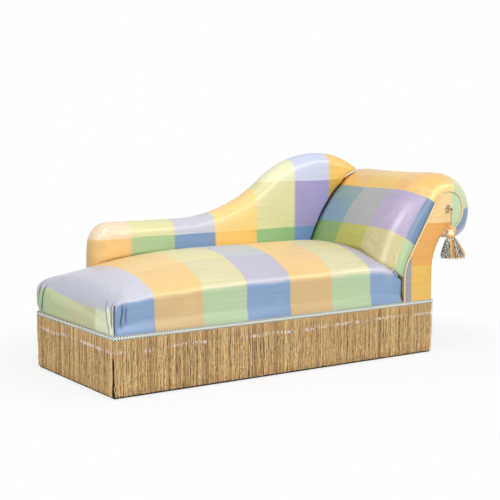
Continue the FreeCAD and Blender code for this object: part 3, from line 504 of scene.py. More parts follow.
# where the top's colours take over from the front's, and the rear's from the top's; the foot end's own
# line with its arch, the sliver over it and the fold at the front corner
seatCheck = {"topFrom": 0.012, "rearFrom": 0.178, "footLine": 0.371, "arch": 0.014, "archEnds": 0.048,
             "footReach": 0.004, "sliverReach": 0.03, "foldReach": 0.075, "foldDrop": 0.055,
             "foldLine": 0.372}


def seatSilk():
    finish = Finish("seatSilk", **silkShine)
    across = wobble(finish, finish.y)
    edges = fromCorner(0.181, 0.401, 0.607, 0.822, 1.042, 1.253, 1.431)
    # beside the head pad the seventh check is darker than the first, mauve on top and lilac at the rear:
    # painted shade of the pad
    colour = checks(finish, wobble(finish, finish.x), edges,
                    [["blue", "tan", "green", "blue", "tan", "green", "blue", "tan"],
                     ["lavender", "orange", "lime", "mauve", "orange", "lime", "mauve", "orange"],
                     ["lavender", "honey", "pear", "cloud", "honey", "pear", "lilac", "honey"]],
                    across, fromFront(seatCheck["topFrom"], seatCheck["rearFrom"]))
    foot = finish.bands(across, fromFront(0.15, 0.40, 0.60),
                        [silk[name] for name in ("footLime", "footStraw", "footGreen", "footMint")], 0.012)
    # the line under the top is arched along the foot end
    halfDepth = baseDepth / 2
    fromMiddle = finish.math("DIVIDE", finish.minus(finish.y, facingLow.y + halfDepth), halfDepth)
    fromMiddle = finish.math("ABSOLUTE", fromMiddle)
    arch = finish.plus(finish.times(finish.math("POWER", fromMiddle, 2.0), seatCheck["arch"]),
                       finish.times(finish.math("POWER", fromMiddle, 9.0), seatCheck["archEnds"]))
    above = finish.plus(wobble(finish, finish.z, 0.004), finish.minus(arch, seatCheck["footLine"]))
    atFoot = finish.opposite(finish.step(finish.x, baseCorner.x + seatCheck["footReach"]))
    under = finish.opposite(finish.step(above, 0.0, 0.0015))
    colour = finish.mix(atFoot, colour, silk["foldGrey"])
    colour = finish.mix(finish.times(under, atFoot), colour, foot)
    # a sliver of the next check shows over that line
    span = finish.between(finish.y, facingLow.y + 0.085, 0.012, facingLow.y + 0.250, 0.03)
    sliver = finish.between(above, 0.001, 0.001, 0.010, 0.0015)
    nearFoot = finish.opposite(finish.step(finish.x, baseCorner.x + seatCheck["sliverReach"]))
    colour = finish.mix(finish.times(finish.times(sliver, nearFoot), span), colour, silk["sliver"])
    # at the corner the pale top is folded down over the front
    nearCorner = finish.math("DIVIDE", finish.minus(finish.x, baseCorner.x), seatCheck["foldReach"])
    nearCorner = finish.math("MAXIMUM", finish.opposite(nearCorner), 0.0)
    folded = finish.plus(finish.z, finish.times(finish.math("POWER", nearCorner, 3.0), seatCheck["foldDrop"]))
    overFront = finish.times(finish.step(folded, seatCheck["foldLine"], 0.006),
                             finish.math("MINIMUM", finish.times(nearCorner, 3.0), 1.0))
    colour = finish.mix(finish.times(overFront, finish.opposite(atFoot)), colour, silk["fold"])
    # painted shade: gathered cloth is darkened down in its creases, multiplied towards the crease colour by
    # creaseShade
    colour = finish.mix(finish.attribute("creaseShade"), colour, silk["crease"], "MULTIPLY")
    return weave(finish, colour, "x", "y")


def backSilk():
    finish = Finish("backSilk", **silkShine)
    edges = fromCorner(0.190, 0.385, 0.601, 0.812, 1.036, 1.253, 1.457)
    colour = checks(finish, wobble(finish, finish.x), edges,
                    [["slate", "orange", "freshGreen", "blue", "amber", "deepGreen", "deepBlue", "ochre"],
                     ["slate", "paleOrange", "straw", "lavender", "sun", "straw", "purple", "ochre"],
                     ["slate", "paleOrange", "paleLime", "paleLavender", "paleOrange", "paleLime",
                      "paleLavender", "amber"]],
                    wobble(finish, finish.z), [0.545, 0.760])
    return weave(finish, colour, "x", "z")


def headSilk():
    # The cloth runs up the pad and over the roll; its place is kept as the attribute clothPlace.
    finish = Finish("headSilk", **silkShine)
    along = finish.axes(finish.attribute("clothPlace", "Vector"))[0]
    colour = checks(finish, wobble(finish, finish.y, 0.008), fromFront(0.014, 0.205, 0.395, 0.60),
                    [["freshGreen", "sand", "olive", "leaf", "sand"],
                     ["darkBlue", "lilac", "grey", "teal", "lilac"],
                     ["sun", "brightOrange", "amber", "brightOrange", "amber"],
                     ["mint", "lime", "moss", "leaf", "lime"],
                     ["blue", "mauve", "slate", "teal", "mauve"],
                     ["sun", "brightOrange", "amber", "brightOrange", "amber"]],
                    wobble(finish, along), padRows)
    return weave(finish, colour, "y", "z")


def panelSilk(name, lengthAxis, edges, rows, levels):
    # Flat panels: one row of colours for each level, from the bottom up.
    finish = Finish(name, **silkShine)
    length = wobble(finish, finish.x if lengthAxis == "x" else finish.y)
    colour = checks(finish, length, edges, rows, wobble(finish, finish.z), levels)
    return weave(finish, colour, lengthAxis, "z")


def threadFinish(name, stops, twist=(900, 900, 260), contrast=0.5):
    # Silky thread: one tone for each strand, from its attribute, with a fine twist along it.
    finish = Finish(name, roughness=0.5, specular=0.45, sheen=0.3)
    fine = finish.grain(twist, detail=1)
    tone = finish.plus(finish.times(fine, contrast), 1 - contrast / 2)
    finish.bump(fine, 0.3, 0.0006)
    finish.colour(finish.scaled(finish.ramp(finish.attribute("threadTone"), stops), tone))
    return finish


def fringeThread():
    finish = threadFinish("fringeThread", shades(
        (0, 116, 86, 52), (0.18, 166, 130, 82), (0.45, 212, 176, 120), (0.62, 236, 202, 140),
        (0.78, 246, 220, 164), (0.86, 194, 172, 172), (0.93, 228, 164, 92), (1, 252, 240, 208)),
        twist=(620, 620, 110), contrast=1.5)
    # pale glints in an uneven line, a quarter of the way down
    level = finish.plus(0.165, finish.times(finish.grain((3.2, 3.2, 0.5), detail=1), 0.036))
    near = finish.math("ABSOLUTE", finish.minus(finish.z, level))
    line = finish.opposite(finish.step(near, 0.006, 0.004))
    spots = finish.step(finish.grain((150, 150, 60), detail=1), 0.52, 0.04)
    patches = finish.step(finish.grain((9, 9, 1), detail=1), 0.44, 0.08)
    share = finish.times(finish.times(line, spots), finish.times(patches, 0.95))
    return finish.colour(finish.mix(share, finish.colourSoFar(), shade(244, 234, 232)))


def braidThread():
    return threadFinish("braidThread", shades(
        (0, 20, 30, 36), (0.2, 84, 108, 112), (0.5, 178, 198, 192), (0.8, 214, 224, 214), (1, 244, 242, 232)),
        twist=(700, 700, 700)).material


def cordThread():
    return threadFinish("cordThread", shades(
        (0, 58, 36, 24), (0.25, 96, 62, 38), (0.5, 206, 160, 88), (0.75, 238, 208, 140), (1, 248, 234, 200)),
        twist=(700, 700, 700)).material


def tasselThread():
    # Gold and cream bundles, and others whose threads change colour in short dashes.
    finish = threadFinish("tasselThread", shades(
        (0, 150, 176, 160), (0.6, 214, 222, 214), (0.7, 232, 180, 104), (0.78, 238, 196, 124),
        (0.9, 228, 164, 72), (0.94, 240, 200, 128), (1, 246, 226, 190)))
    dashes = finish.ramp(finish.grain((170, 170, 62), detail=1), shades(
        (0.38, 20, 28, 44), (0.44, 26, 34, 52), (0.455, 244, 240, 230), (0.52, 250, 246, 236),
        (0.535, 64, 110, 84), (0.56, 120, 160, 130), (0.575, 240, 232, 210), (0.60, 30, 40, 62)))
    dashed = finish.opposite(finish.step(finish.attribute("threadTone"), 0.62, 0.01))
    return finish.colour(finish.mix(dashed, finish.colourSoFar(), dashes))


def woodGrain(name, dark, light, roughness, lengthAxis="x"):
    finish = Finish(name, roughness=roughness, specular=0.4)
    rings = finish.threads(lengthAxis, 6, 90, detail=4, rough=0.6)
    blend = finish.plus(finish.times(rings, 0.8), finish.times(finish.threads(lengthAxis, 20, 600), 0.25))
    finish.bump(blend, 0.2, 0.0006)
    return finish.colour(finish.ramp(blend, [(0.3, dark), (0.72, light)]))


def bareMetal(name, tone, roughness):
    finish = Finish(name, roughness=roughness, metallic=1.0)
    scratches = finish.grain((60, 60, 900))
    finish.bump(scratches, 0.15, 0.0003)
    blend = finish.plus(finish.times(scratches, 0.3), finish.times(finish.grain((25, 25, 25), detail=3), 0.7))
    dark = tuple(0.55 * value for value in tone[:3]) + (1,)
    return finish.colour(finish.ramp(blend, [(0.3, dark), (0.65, tone)]))


def coarseWeave(name, dark, light, threads):
    # Jute and lining cloth: two sets of threads crossing.
    finish = Finish(name, roughness=0.85, specular=0.2, sheen=0.1)
    alongX, alongY, alongZ = (finish.math("SINE", finish.times(axis, threads))
                              for axis in (finish.x, finish.y, finish.z))
    crossing = finish.plus(finish.times(alongX, alongY), finish.times(alongZ, alongX))
    blend = finish.plus(finish.times(crossing, 0.2), finish.grain((160, 160, 160), detail=3))
    finish.bump(blend, 0.4, 0.0008)
    return finish.colour(finish.ramp(blend, [(0.2, dark), (0.8, light)]))


# Padded covers: the solids' outer form, filled, softened and blown up between its seams.

padding = {"ease": 3, "shrink": 0.004, "cap": 0.006, "frames": 20, "coverFill": 0.85, "panelFill": 0.9,
           "cloth": {"quality": 4, "mass": 0.3, "tension_stiffness": 12, "compression_stiffness": 12,
                     "shear_stiffness": 4, "bending_stiffness": 0.4, "use_pressure": True,
                     "uniform_pressure_force": 4.0, "vertex_group_mass": "sewn"}}


def paddedForm(label, parts, voxel):
    form = joined(label, parts)
    cleanUp(form)
    makeActive(form)
    form.data.remesh_voxel_size = voxel
    form.data.use_remesh_fix_poles = False
    bpy.ops.object.voxel_remesh()
    applied(form, "SMOOTH", factor=0.5, iterations=padding["ease"])
    return form


def pressOut(form, sewn):
    # Runs the filling's pressure on the cover, held where it is sewn.
    group = form.vertex_groups.new(name="sewn")
    for index in np.nonzero(sewn > 0)[0]:
        group.add([int(index)], float(sewn[index]), "REPLACE")
    pressed = form.modifiers.new("cloth", "CLOTH")
    for name, value in padding["cloth"].items():
        setattr(pressed.settings, name, value)
    pressed.settings.effector_weights.gravity = 0
    pressed.collision_settings.use_collision = False
    pressed.point_cache.frame_start = 1
    pressed.point_cache.frame_end = padding["frames"]
    for step in range(1, padding["frames"] + 1):
        bpy.context.scene.frame_set(step)
    makeActive(form)
    bpy.ops.object.modifier_apply(modifier=pressed.name)
    bpy.context.scene.frame_set(1)
    form.vertex_groups.clear()


def blowUp(form, sewn):
    # The cover is drawn in a little, then pressed out by its filling, by no more than the cap.
    before = points(form)
    start = before - normals(form) * padding["shrink"] * (1 - sewn)[:, None]
    setPoints(form, start)
    pressOut(form, sewn)
    moved = points(form) - start
    reach = np.linalg.norm(moved, axis=1)
    limit = np.minimum(1, padding["cap"] / np.maximum(reach, 1e-9))
    setPoints(form, start + moved * limit[:, None])
    print("   ", form.name, "moved by up to", round(float((reach * limit).max()) * 1000, 1), "mm, mean",
          round(float((reach * limit).mean()) * 1000, 1))


def smoothStep(value, low, high):
    share = np.clip((value - low) / (high - low), 0, 1)
    return share * share * (3 - 2 * share)


def roundOff(form):
    applied(form, "SUBSURF", levels=1, render_levels=1)
    smoothAll(form)


def fillerFrom(name, label, way, reach):
    # A panel whose inner face is drawn through the cover, so that the cover is filled solid.
    filler = copyOfNode(name, label)
    selectFacing(filler, (0, way, 0))
    bpy.ops.mesh.extrude_region_move(TRANSFORM_OT_translate={"value": (0, way * reach, 0)})
    leaveEdit()
    return filler


# fills: two blocks that fill the cover over the springs and the rails; cornerBox: how far along and in
# from the corner, and between which heights, the cover is divided finely for its creases
seat = {"voxel": 0.011, "pleatDepth": 0.010, "bulge": 0.008, "side": (0.247, 0.366),
        "fills": (((0.012, 0.012, 0.24), (1.42, 0.555, 0.346)),
                  ((0.002, 0.002, 0.2285), (1.434, 0.687, 0.252))),
        "sewnFoot": (0.246, 0.275), "sewnRear": (0.55, 0.58), "cornerBox": (0.085, 0.10, 0.232, 0.405)}
# each pleat: how far round the corner it lies at its top and foot (minus is on the foot end),
# the heights it runs between, how wide it is and how deep
cornerPleats = [(-0.081, -0.036, 0.372, 0.247, 0.0062, 0.9), (-0.029, -0.019, 0.372, 0.258, 0.0060, 1.0),
                (0.014, 0.006, 0.380, 0.247, 0.0024, 1.0), (0.047, 0.035, 0.366, 0.272, 0.0022, 0.9),
                (0.061, 0.056, 0.366, 0.284, 0.0018, 0.6), (0.026, 0.020, 0.378, 0.345, 0.0018, 0.5)]


def pleatPush(found, normal, atRear):
    # Creases that gather the cover at a corner of the foot end, each with a fold beside it.
    x = found[:, 0] - baseCorner.x
    y = (rearPlane - found[:, 1]) if atRear else (found[:, 1] - facingLow.y)
    z = found[:, 2]
    onFront = np.abs(normal[:, 1]) > np.abs(normal[:, 0])
    around = np.where(onFront, x, -y)
    push = np.zeros(len(found))
    for top, foot, high, low, width, strength in cornerPleats:
        share = np.clip((high - z) / (high - low), 0, 1)
        line = top + (foot - top) * share + 0.0012 * np.sin(share * 9 + top * 90)
        taper = smoothStep(z, low - 0.012, low + 0.02) * (1 - smoothStep(z, high - 0.03, high + 0.008))
        crease = np.exp(-np.abs((around - line) / width) ** 1.4)
        fold = np.exp(-((around - line - 2.6 * width) / (1.7 * width)) ** 2)
        push += taper * strength * (0.55 * fold - crease) * seat["pleatDepth"]
    near = (x < 0.1) & (y < 0.11)
    return np.where(near, push, 0)


def makeSeat():
    parts = [copyOfNode("seat_cover", "seatCover"), copyOfNode("seat_stuffing", "seatFill")]
    parts += [block(place(*low), place(*high)) for low, high in seat["fills"]]
    form = paddedForm("seatCover", parts, seat["voxel"])
    found = points(form)
    sewn = np.maximum(1 - smoothStep(found[:, 2], *seat["sewnFoot"]),
                      smoothStep(found[:, 1] - facingLow.y, *seat["sewnRear"]))
    blowUp(form, sewn)
    roundOff(form)
    # the foot end bulges between the braid and the top
    found = points(form)
    sideLow, sideHigh = seat["side"]
    upShare = np.clip((found[:, 2] - sideLow) / (sideHigh - sideLow), 0, 1)
    towardsFoot = np.clip(-normals(form)[:, 0], 0, 1)
    found[:, 0] -= seat["bulge"] * np.sin(upShare * math.pi) ** 0.8 * towardsFoot
    setPoints(form, found)
    # the corners are divided finely and creased
    found = points(form) - np.array(place(0, 0, 0))
    long, deep, low, high = seat["cornerBox"]
    corner = (found[:, 0] < long) & ((found[:, 1] < deep) | (found[:, 1] > baseDepth - deep))
    corner &= (found[:, 2] > low) & (found[:, 2] < high)
    selectSome(form, "VERT", corner)
    bpy.ops.mesh.subdivide(number_cuts=3, smoothness=0)
    leaveEdit()
    found = points(form)
    normal = normals(form)
    push = pleatPush(found, normal, False)
    push += pleatPush(found, normal, True)
    setPoints(form, found + normal * push[:, None])
    # creaseShade is painted shade, darkest down in each crease and none on the folds
    setAttribute(form, "creaseShade", np.clip(-push / seat["pleatDepth"] * 2.0 - 0.2, 0, 0.92))
    bpy.ops.object.shade_smooth()
    return finishPadded(form, seatSilk(),
                        ["seat_cover", "seat_stuffing", "seat_hessian"])


back = {"voxel": 0.009, "pocket": 0.05, "sewnRear": (0.012, 0.004), "sewnFoot": (0.26, 0.30),
        "flatWithin": 0.006, "flatAt": 0.003}


def makeBack():
    filler = fillerFrom("back_outer_panel", "backFiller", -1, back["pocket"])
    parts = [copyOfNode("back_cover", "backCover"), copyOfNode("back_stuffing", "backFill"), filler]
    form = paddedForm("backCover", parts, back["voxel"])
    found = points(form)
    sewn = smoothStep(found[:, 1], rearPlane - back["sewnRear"][0], rearPlane - back["sewnRear"][1])
    sewn = np.maximum(sewn, 1 - smoothStep(found[:, 2], *back["sewnFoot"]))
    blowUp(form, sewn)
    # its rear stays flat behind the panel
    found = points(form)
    flat = (found[:, 1] > rearPlane - back["flatWithin"]) & (normals(form)[:, 1] > 0.9)
    found[flat, 1] = rearPlane - back["flatAt"]
    setPoints(form, found)
    roundOff(form)
    return finishPadded(form, backSilk(), ["back_cover", "back_stuffing"])


# check: how tall the cloth's checks are on the pad, wideCheck: the one check that is taller;
# underRoll: the turn under the roll, in degrees, where the cloth's place starts again
head = {"voxel": 0.009, "rollMiddle": (1.698, 0.626), "rollRadius": 0.188, "padLow": (1.400, 0.570),
        "padHigh": (1.529, 0.738), "check": 0.212, "wideCheck": 0.234, "underRoll": -110, "rollFrom": 0.12,
        "fillGap": 0.003, "sideGap": 0.0015, "sewnSides": (0.004, 0.016), "sewnFoot": (0.30, 0.36),
        "sewnOutside": (0.004, 0.5, 0.56)}
padRows = [0.0, head["check"], head["check"] + head["wideCheck"], 2 * head["check"] + head["wideCheck"],
           3 * head["check"] + head["wideCheck"]]


def clothPlaces(form):
    # How far up the pad and round the roll each point of the cover lies, from the first check line.
    found = points(form)
    x = found[:, 0] - baseCorner.x
    z = found[:, 2]
    lowX, lowZ = head["padLow"]
    highX, highZ = head["padHigh"]
    span = math.hypot(highX - lowX, highZ - lowZ)
    ahead = ((x - lowX) * (highX - lowX) + (z - lowZ) * (highZ - lowZ)) / span
    middleX, middleZ = head["rollMiddle"]
    turn = np.degrees(np.arctan2(z - middleZ, x - middleX))
    startTurn = math.degrees(math.atan2(highZ - middleZ, highX - middleX))
    wrapped = np.where(turn < head["underRoll"], turn + 360, turn)
    around = np.radians(startTurn - wrapped) * head["rollRadius"] + head["check"]
    onRoll = (turn < startTurn) & (turn > head["underRoll"])
    onRoll |= (x > lowX + head["rollFrom"]) & (z > highZ)
    along = np.where(onRoll, around, np.minimum(ahead, head["check"] - 0.0001))
    setAttribute(form, "clothPlace", np.stack([along, found[:, 1], z], axis=1), "FLOAT_VECTOR")


def makeHead():
    filler = fillerFrom("front_facing", "headFiller", 1, baseDepth - head["fillGap"])
    parts = [copyOfNode("head_cover", "headCover"), copyOfNode("head_stuffing", "headFill"), filler]
    form = paddedForm("headCover", parts, head["voxel"])
    found = points(form)
    outside = np.minimum(found[:, 1] - facingLow.y, rearPlane - found[:, 1])
    sewn = 1 - smoothStep(outside, *head["sewnSides"])
    sewn = np.maximum(sewn, 1 - smoothStep(found[:, 2], *head["sewnFoot"]))
    reach, low, high = head["sewnOutside"]
    atEnd = smoothStep(found[:, 0], baseEnd - reach, baseEnd) * (1 - smoothStep(found[:, 2], low, high))
    sewn = np.maximum(sewn, atEnd)
    blowUp(form, sewn)
    found = points(form)
    found[:, 1] = np.clip(found[:, 1], facingLow.y + head["sideGap"], rearPlane - head["sideGap"])
    setPoints(form, found)
    roundOff(form)
    clothPlaces(form)
    return finishPadded(form, headSilk(), ["head_cover", "head_stuffing"])


covers = []
for makeCover in (makeSeat, makeBack, makeHead):
    covers.append(makeCover())
    print("stage:", covers[-1].name)

crease = {"reach": 0.016, "depth": 0.010}


def turnedIn(form):
    # Where a cover meets another it turns in, which leaves the dark line between them.
    found = points(form)
    push = np.zeros(len(found))
    for neighbour in [cover for cover in covers if cover is not form]:
        tree = BVHTree.FromPolygons([vertex.co for vertex in neighbour.data.vertices],
                                    [polygon.vertices for polygon in neighbour.data.polygons])
        spots = points(neighbour)
        low, high = spots.min(axis=0) - crease["reach"], spots.max(axis=0) + crease["reach"]
        for index in np.nonzero(np.all((found > low) & (found < high), axis=1))[0]:
            gap = tree.find_nearest(Vector(found[index]), crease["reach"])[3]
            if gap is not None:
                push[index] = max(push[index], crease["depth"] * (1 - gap / crease["reach"]) ** 1.5)
    return found - normals(form) * push[:, None]


drawnIn = [turnedIn(cover) for cover in covers]
for cover, found in zip(covers, drawnIn):
    setPoints(cover, found)
print("stage: creases")


# Flat panels: facings, outside of the head end, rear of the back.

# each step: how far the edge is drawn in, and its share of the lift
facing = {"steps": [(0.0015, 0.35), (0.003, 0.3), (0.005, 0.2), (0.008, 0.15)], "lift": 0.0035,
          "narrowSteps": [(0.0012, 0.4), (0.0025, 0.35), (0.0035, 0.25)]}


def quilted(name, label, way, steps):
    # A flat panel with a soft edge: its outer face is drawn in and raised a little at a time.
    panel = copyOfNode(name, label)
    editAll(panel)
    bpy.ops.mesh.dissolve_limited(angle_limit=math.radians(1.0))
    leaveEdit()
    selectFacing(panel, (0, way, 0), 0.95)
    for inset, share in steps:
        bpy.ops.mesh.inset(thickness=inset, depth=share * facing["lift"])
    bpy.ops.mesh.quads_convert_to_tris(quad_method="BEAUTY", ngon_method="BEAUTY")
    leaveEdit()
    smoothShade(panel, 50)
    return panel


def makeFacings():
    material = panelSilk("facingSilk", "x", fromCorner(1.478, 1.710),
                         [["greyLavender", "gold", "mint"], ["greyLavender", "rust", "mint"],
                          ["cream", "cream", "mint"]], [0.400, 0.590])
    for name, label, way in (("front_facing", "frontFacing", -1), ("rear_facing", "rearFacing", 1)):
        finishPadded(quilted(name, label, way, facing["steps"]), material, [name])


def makeHeadOutside():
    material = panelSilk("outsideSilk", "y", fromFront(0.13, 0.345, 0.56),
                         [["blue", "tan", "green", "blue"], ["mauve", "amber", "lime", "lavender"]], [0.400])
    panel = copyOfNode("head_outer_panel", "headOutsidePanel")
    applied(panel, "BEVEL", width=0.0012, segments=2)
    smoothShade(panel, 50)
    finishPadded(panel, material, ["head_outer_panel"])


def makeBackOutside():
    material = panelSilk("rearSilk", "x", fromCorner(0.277, 0.493, 0.706, 0.924, 1.144, 1.355, 1.53),
                         [["tan", "green", "blue", "tan", "green", "blue", "tan", "green"],
                          ["orange", "lime", "mauve", "orange", "lime", "mauve", "orange", "lime"],
                          ["paleOrange", "paleLime", "paleLavender", "paleOrange", "paleLime", "paleLavender",
                           "paleOrange", "paleLime"]], [0.42, 0.635])
    # its low strip at the foot end is narrow, so the edge is drawn in less
    panel = quilted("back_outer_panel", "backOutsidePanel", 1, facing["narrowSteps"])
    finishPadded(panel, material, ["back_outer_panel"])


makeFacings()
makeHeadOutside()
makeBackOutside()
print("stage: panels")


# Twisted cords: piping, the braid's edges, the tassel's own cord.

def smoothLine(label, route, spacing):
    # Evenly spaced points along a smooth open curve, whose control points are the route's.
    curveData = bpy.data.curves.new(label, "CURVE")
    curveData.dimensions = "3D"
    curveData.resolution_u = 12
    spline = curveData.splines.new("NURBS")
    spline.points.add(len(route) - 1)
    for point, spot in zip(spline.points, route):
        point.co = (*spot, 1)
    spline.order_u = 3
    spline.use_endpoint_u = True
    curve = linked(label, curveData)
    bpy.context.view_layer.update()
    mesh = bpy.data.meshes.new_from_object(curve.evaluated_get(bpy.context.evaluated_depsgraph_get()))
    line = np.array([vertex.co for vertex in mesh.vertices])
    bpy.data.meshes.remove(mesh)
    bpy.data.objects.remove(curve)
    travelled = lengthSoFar(line)
    count = max(2, int(round(travelled[-1] / spacing)) + 1)
    marks = np.linspace(0, travelled[-1], count)
    return np.stack([np.interp(marks, travelled, line[:, axis]) for axis in range(3)], axis=1)


def lengthSoFar(line):
    return np.concatenate([[0], np.cumsum(np.linalg.norm(np.diff(line, axis=0), axis=1))])


def evenly(start, end, spacing):
    start, end = np.array(start, dtype=float), np.array(end, dtype=float)
    count = max(2, int(round(np.linalg.norm(end - start) / spacing)) + 1)
    return start + (end - start) * np.linspace(0, 1, count)[:, None]


def unit(vectors):
    return vectors / np.linalg.norm(vectors, axis=1)[:, None]


def twistedCord(label, line, radius, pitch, tones, sides=6, firstSide=(0.0, 0.0, 1.0)):
    # Plies wound round a line, one for each tone, each a slim tube closed at both ends.
    line = np.asarray(line, dtype=float)
    way = unit(np.gradient(line, axis=0))
    side = np.zeros_like(line)
    current = np.array(firstSide) - way[0] * np.dot(firstSide, way[0])
    current /= np.linalg.norm(current)
    for index in range(len(line)):
        current = current - way[index] * np.dot(current, way[index])
        current /= np.linalg.norm(current)
        side[index] = current
    other = np.cross(way, side)
    travelled = lengthSoFar(line)
    plies = len(tones)
    plyRadius = radius * (0.56 if plies == 2 else 0.5)
    verts, faces, toneOfVert = [], [], []
    for ply, tone in enumerate(tones):
        turn = 2 * np.pi * (travelled / pitch + ply / plies)
        out = np.cos(turn)[:, None] * side + np.sin(turn)[:, None] * other
        middle = line + out * (radius - plyRadius)
        across = np.cross(unit(np.gradient(middle, axis=0)), out)
        base = len(verts)
        for index in range(len(line)):
            for step in range(sides):
                angle = 2 * np.pi * step / sides
                away = np.cos(angle) * out[index] + np.sin(angle) * across[index]
                verts.append(middle[index] + plyRadius * away)
                toneOfVert.append(tone)
        for index in range(len(line) - 1):
            for step in range(sides):
                first = base + index * sides + step
                second = base + index * sides + (step + 1) % sides
                faces.append((first, second, second + sides, first + sides))
        faces.append(tuple(base + step for step in reversed(range(sides))))
        faces.append(tuple(base + (len(line) - 1) * sides + step for step in range(sides)))
    piece = threadPiece(label, verts, faces, toneOfVert)
    cleanUp(piece)
    smoothShade(piece, 60)
    return piece


piping = {"radius": 0.004, "pitch": 0.016, "stand": 0.0043, "step": 0.002, "scrollMiddle": (1.694, 0.642),
          "scrollRadius": 0.087, "bendRadius": 0.150, "lean": 58, "seam": 1.438, "lowEnd": 0.2468,
          "tail": -100, "turns": 8, "tones": [1.0, 0.78]}


def seamRoute():
    # The facing's seam seen from the front, as control points: up, over the bend, along the pad
    # and round the scroll.
    lean = math.radians(piping["lean"])
    middleX, middleZ = piping["scrollMiddle"]
    radius = piping["scrollRadius"]
    padTop = (middleX - math.sin(lean) * radius, middleZ + math.cos(lean) * radius)
    seam = piping["seam"]
    cornerZ = padTop[1] - (padTop[0] - seam) * math.tan(lean)
    reach = piping["bendRadius"] * math.tan((math.pi / 2 - lean) / 2)
    route = [(seam, piping["lowEnd"]), (seam, cornerZ - 2 * reach), (seam, cornerZ),
             (seam + 2 * reach * math.cos(lean), cornerZ + 2 * reach * math.sin(lean)), padTop]
    turns = piping["turns"]
    sweep = math.radians(piping["lean"] + 90 - piping["tail"])
    cornerRadius = radius / math.cos(sweep / turns / 2)
    for step in range(turns):
        turn = math.radians(piping["lean"] + 90) - sweep * (step + 0.5) / turns
        route.append((middleX + cornerRadius * math.cos(turn), middleZ + cornerRadius * math.sin(turn)))
    tail = math.radians(piping["tail"])
    route.append((middleX + radius * math.cos(tail), middleZ + radius * math.sin(tail)))
    return route


cordFinish = cordThread()


def makePiping(name, label, y):
    line = smoothLine(f"{label}Path", [place(x, y, z) for x, z in seamRoute()], piping["step"])
    cord = twistedCord(label, line, piping["radius"], piping["pitch"], piping["tones"], sides=7,
                       firstSide=(0.0, 1.0, 0.0))
    finish(cord, "root", cordFinish, "piping_cord", [name])


makePiping("front_piping", "frontPiping", -piping["stand"])
makePiping("rear_piping", "rearPiping", baseDepth + piping["stand"])
print("stage: piping")


# endSteps: how far each end is drawn in and raised, in turn, to its button
tuck = {"radius": 0.0155, "endLength": 0.012, "gathers": 8, "gatherDepth": 0.05,
        "endSteps": ((0.0012, 0.004), (0.003, 0.0035), (0.004, 0.0015), (0.004, -0.0008))}


def makeTuckRoll():
    # A padded roll closes the hollow under the scroll; its ends are gathered into a button.
    low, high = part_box("tuck_roll")
    middle = Vector(((low.x + high.x) / 2, (low.y + high.y) / 2, (low.z + high.z) / 2))
    length = high.y - low.y
    deselect()
    bpy.ops.mesh.primitive_cylinder_add(vertices=32, radius=tuck["radius"], depth=length - tuck["endLength"],
                                        location=middle, rotation=(math.radians(90), 0, 0))
    roll = bpy.context.object
    roll.name = "tuckRoll"
    applyPlace(roll)
    for way in (-1, 1):
        selectFacing(roll, (0, way, 0))
        for inset, rise in tuck["endSteps"]:
            bpy.ops.mesh.inset(thickness=inset, depth=rise)
        leaveEdit()
    found = points(roll)
    turn = np.arctan2(found[:, 2] - middle.z, found[:, 0] - middle.x)
    endShare = smoothStep(np.abs(found[:, 1] - middle.y), length / 2 - tuck["endLength"], length / 2)
    out = np.stack([found[:, 0] - middle.x, np.zeros(len(found)), found[:, 2] - middle.z], axis=1)
    gathered = tuck["gatherDepth"] * np.cos(tuck["gathers"] * turn) * endShare
    setPoints(roll, found + out * gathered[:, None])
    roundOff(roll)
    silkFinish = Finish("tuckSilk", roughness=0.4, specular=0.5, sheen=0.2)
    colour = checks(silkFinish, wobble(silkFinish, silkFinish.y), fromFront(0.13, 0.345, 0.56),
                    [["blush", "paleOrange", "lime", "mauve"]])
    finishPadded(roll, weave(silkFinish, colour, "x", "y"), ["tuck_roll"])


makeTuckRoll()
print("stage: tuck roll")


# Gimp braid: two twisted edges, a flat ground and a row of small loops.

# ground: how deep it lies at its back and face, its half height and its gap to the ends
braid = {"edgeRadius": 0.0034, "edgePitch": 0.0125, "edgeStep": 0.00145, "edgeGap": 0.001, "halfTall": 0.0095,
         "upperTones": [1.0, 0.05], "lowerTones": [1.0, 0.0], "loopSpacing": 0.0096, "loopRadius": 0.0019,
         "threadRadius": 0.0014, "loopDepth": 0.0016, "loopGap": 0.004, "loopTone": 1.0,
         "ground": (0.0045, 0.0020, 0.0075, 0.0005), "groundTone": 0.55}
braidFinish = braidThread()


def sideOf(name):
    # A trim's box, whether it runs along Y, its outer face and the way out there.
    low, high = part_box(name)
    alongY = (high.y - low.y) > (high.x - low.x)
    way = -1 if name.startswith(("front", "foot_end")) else 1
    face = (low if way < 0 else high)[0 if alongY else 1]
    return low, high, alongY, face, way


def loopRow(label, start, end, outward):
    # One small figure of gimp is shaped once, then set in a row along the braid.
    start, end, outward = Vector(start), Vector(end), Vector(outward)
    deselect()
    bpy.ops.mesh.primitive_torus_add(major_segments=8, minor_segments=4, major_radius=braid["loopRadius"],
                                     minor_radius=braid["threadRadius"], location=(0, 0, 0))
    loop = bpy.context.object
    found = points(loop)
    found[:, 0] *= 1.1
    found[:, 2] += 0.0006 * np.sign(found[:, 0])
    setPoints(loop, found)
    along = (end - start).normalized()
    turn = Matrix((along, outward.cross(along), outward)).transposed()
    shape = points(loop) @ np.array(turn).T
    faces = [tuple(polygon.vertices) for polygon in loop.data.polygons]
    bpy.data.objects.remove(loop)
    count = int((end - start).length / braid["loopSpacing"])
    spots = [np.array(start + (end - start) * ((index + 0.5) / count)) for index in range(count)]
    row = copiesPiece(label, [shape + spot for spot in spots], faces, [braid["loopTone"]] * count)
    smoothAll(row)
    return row


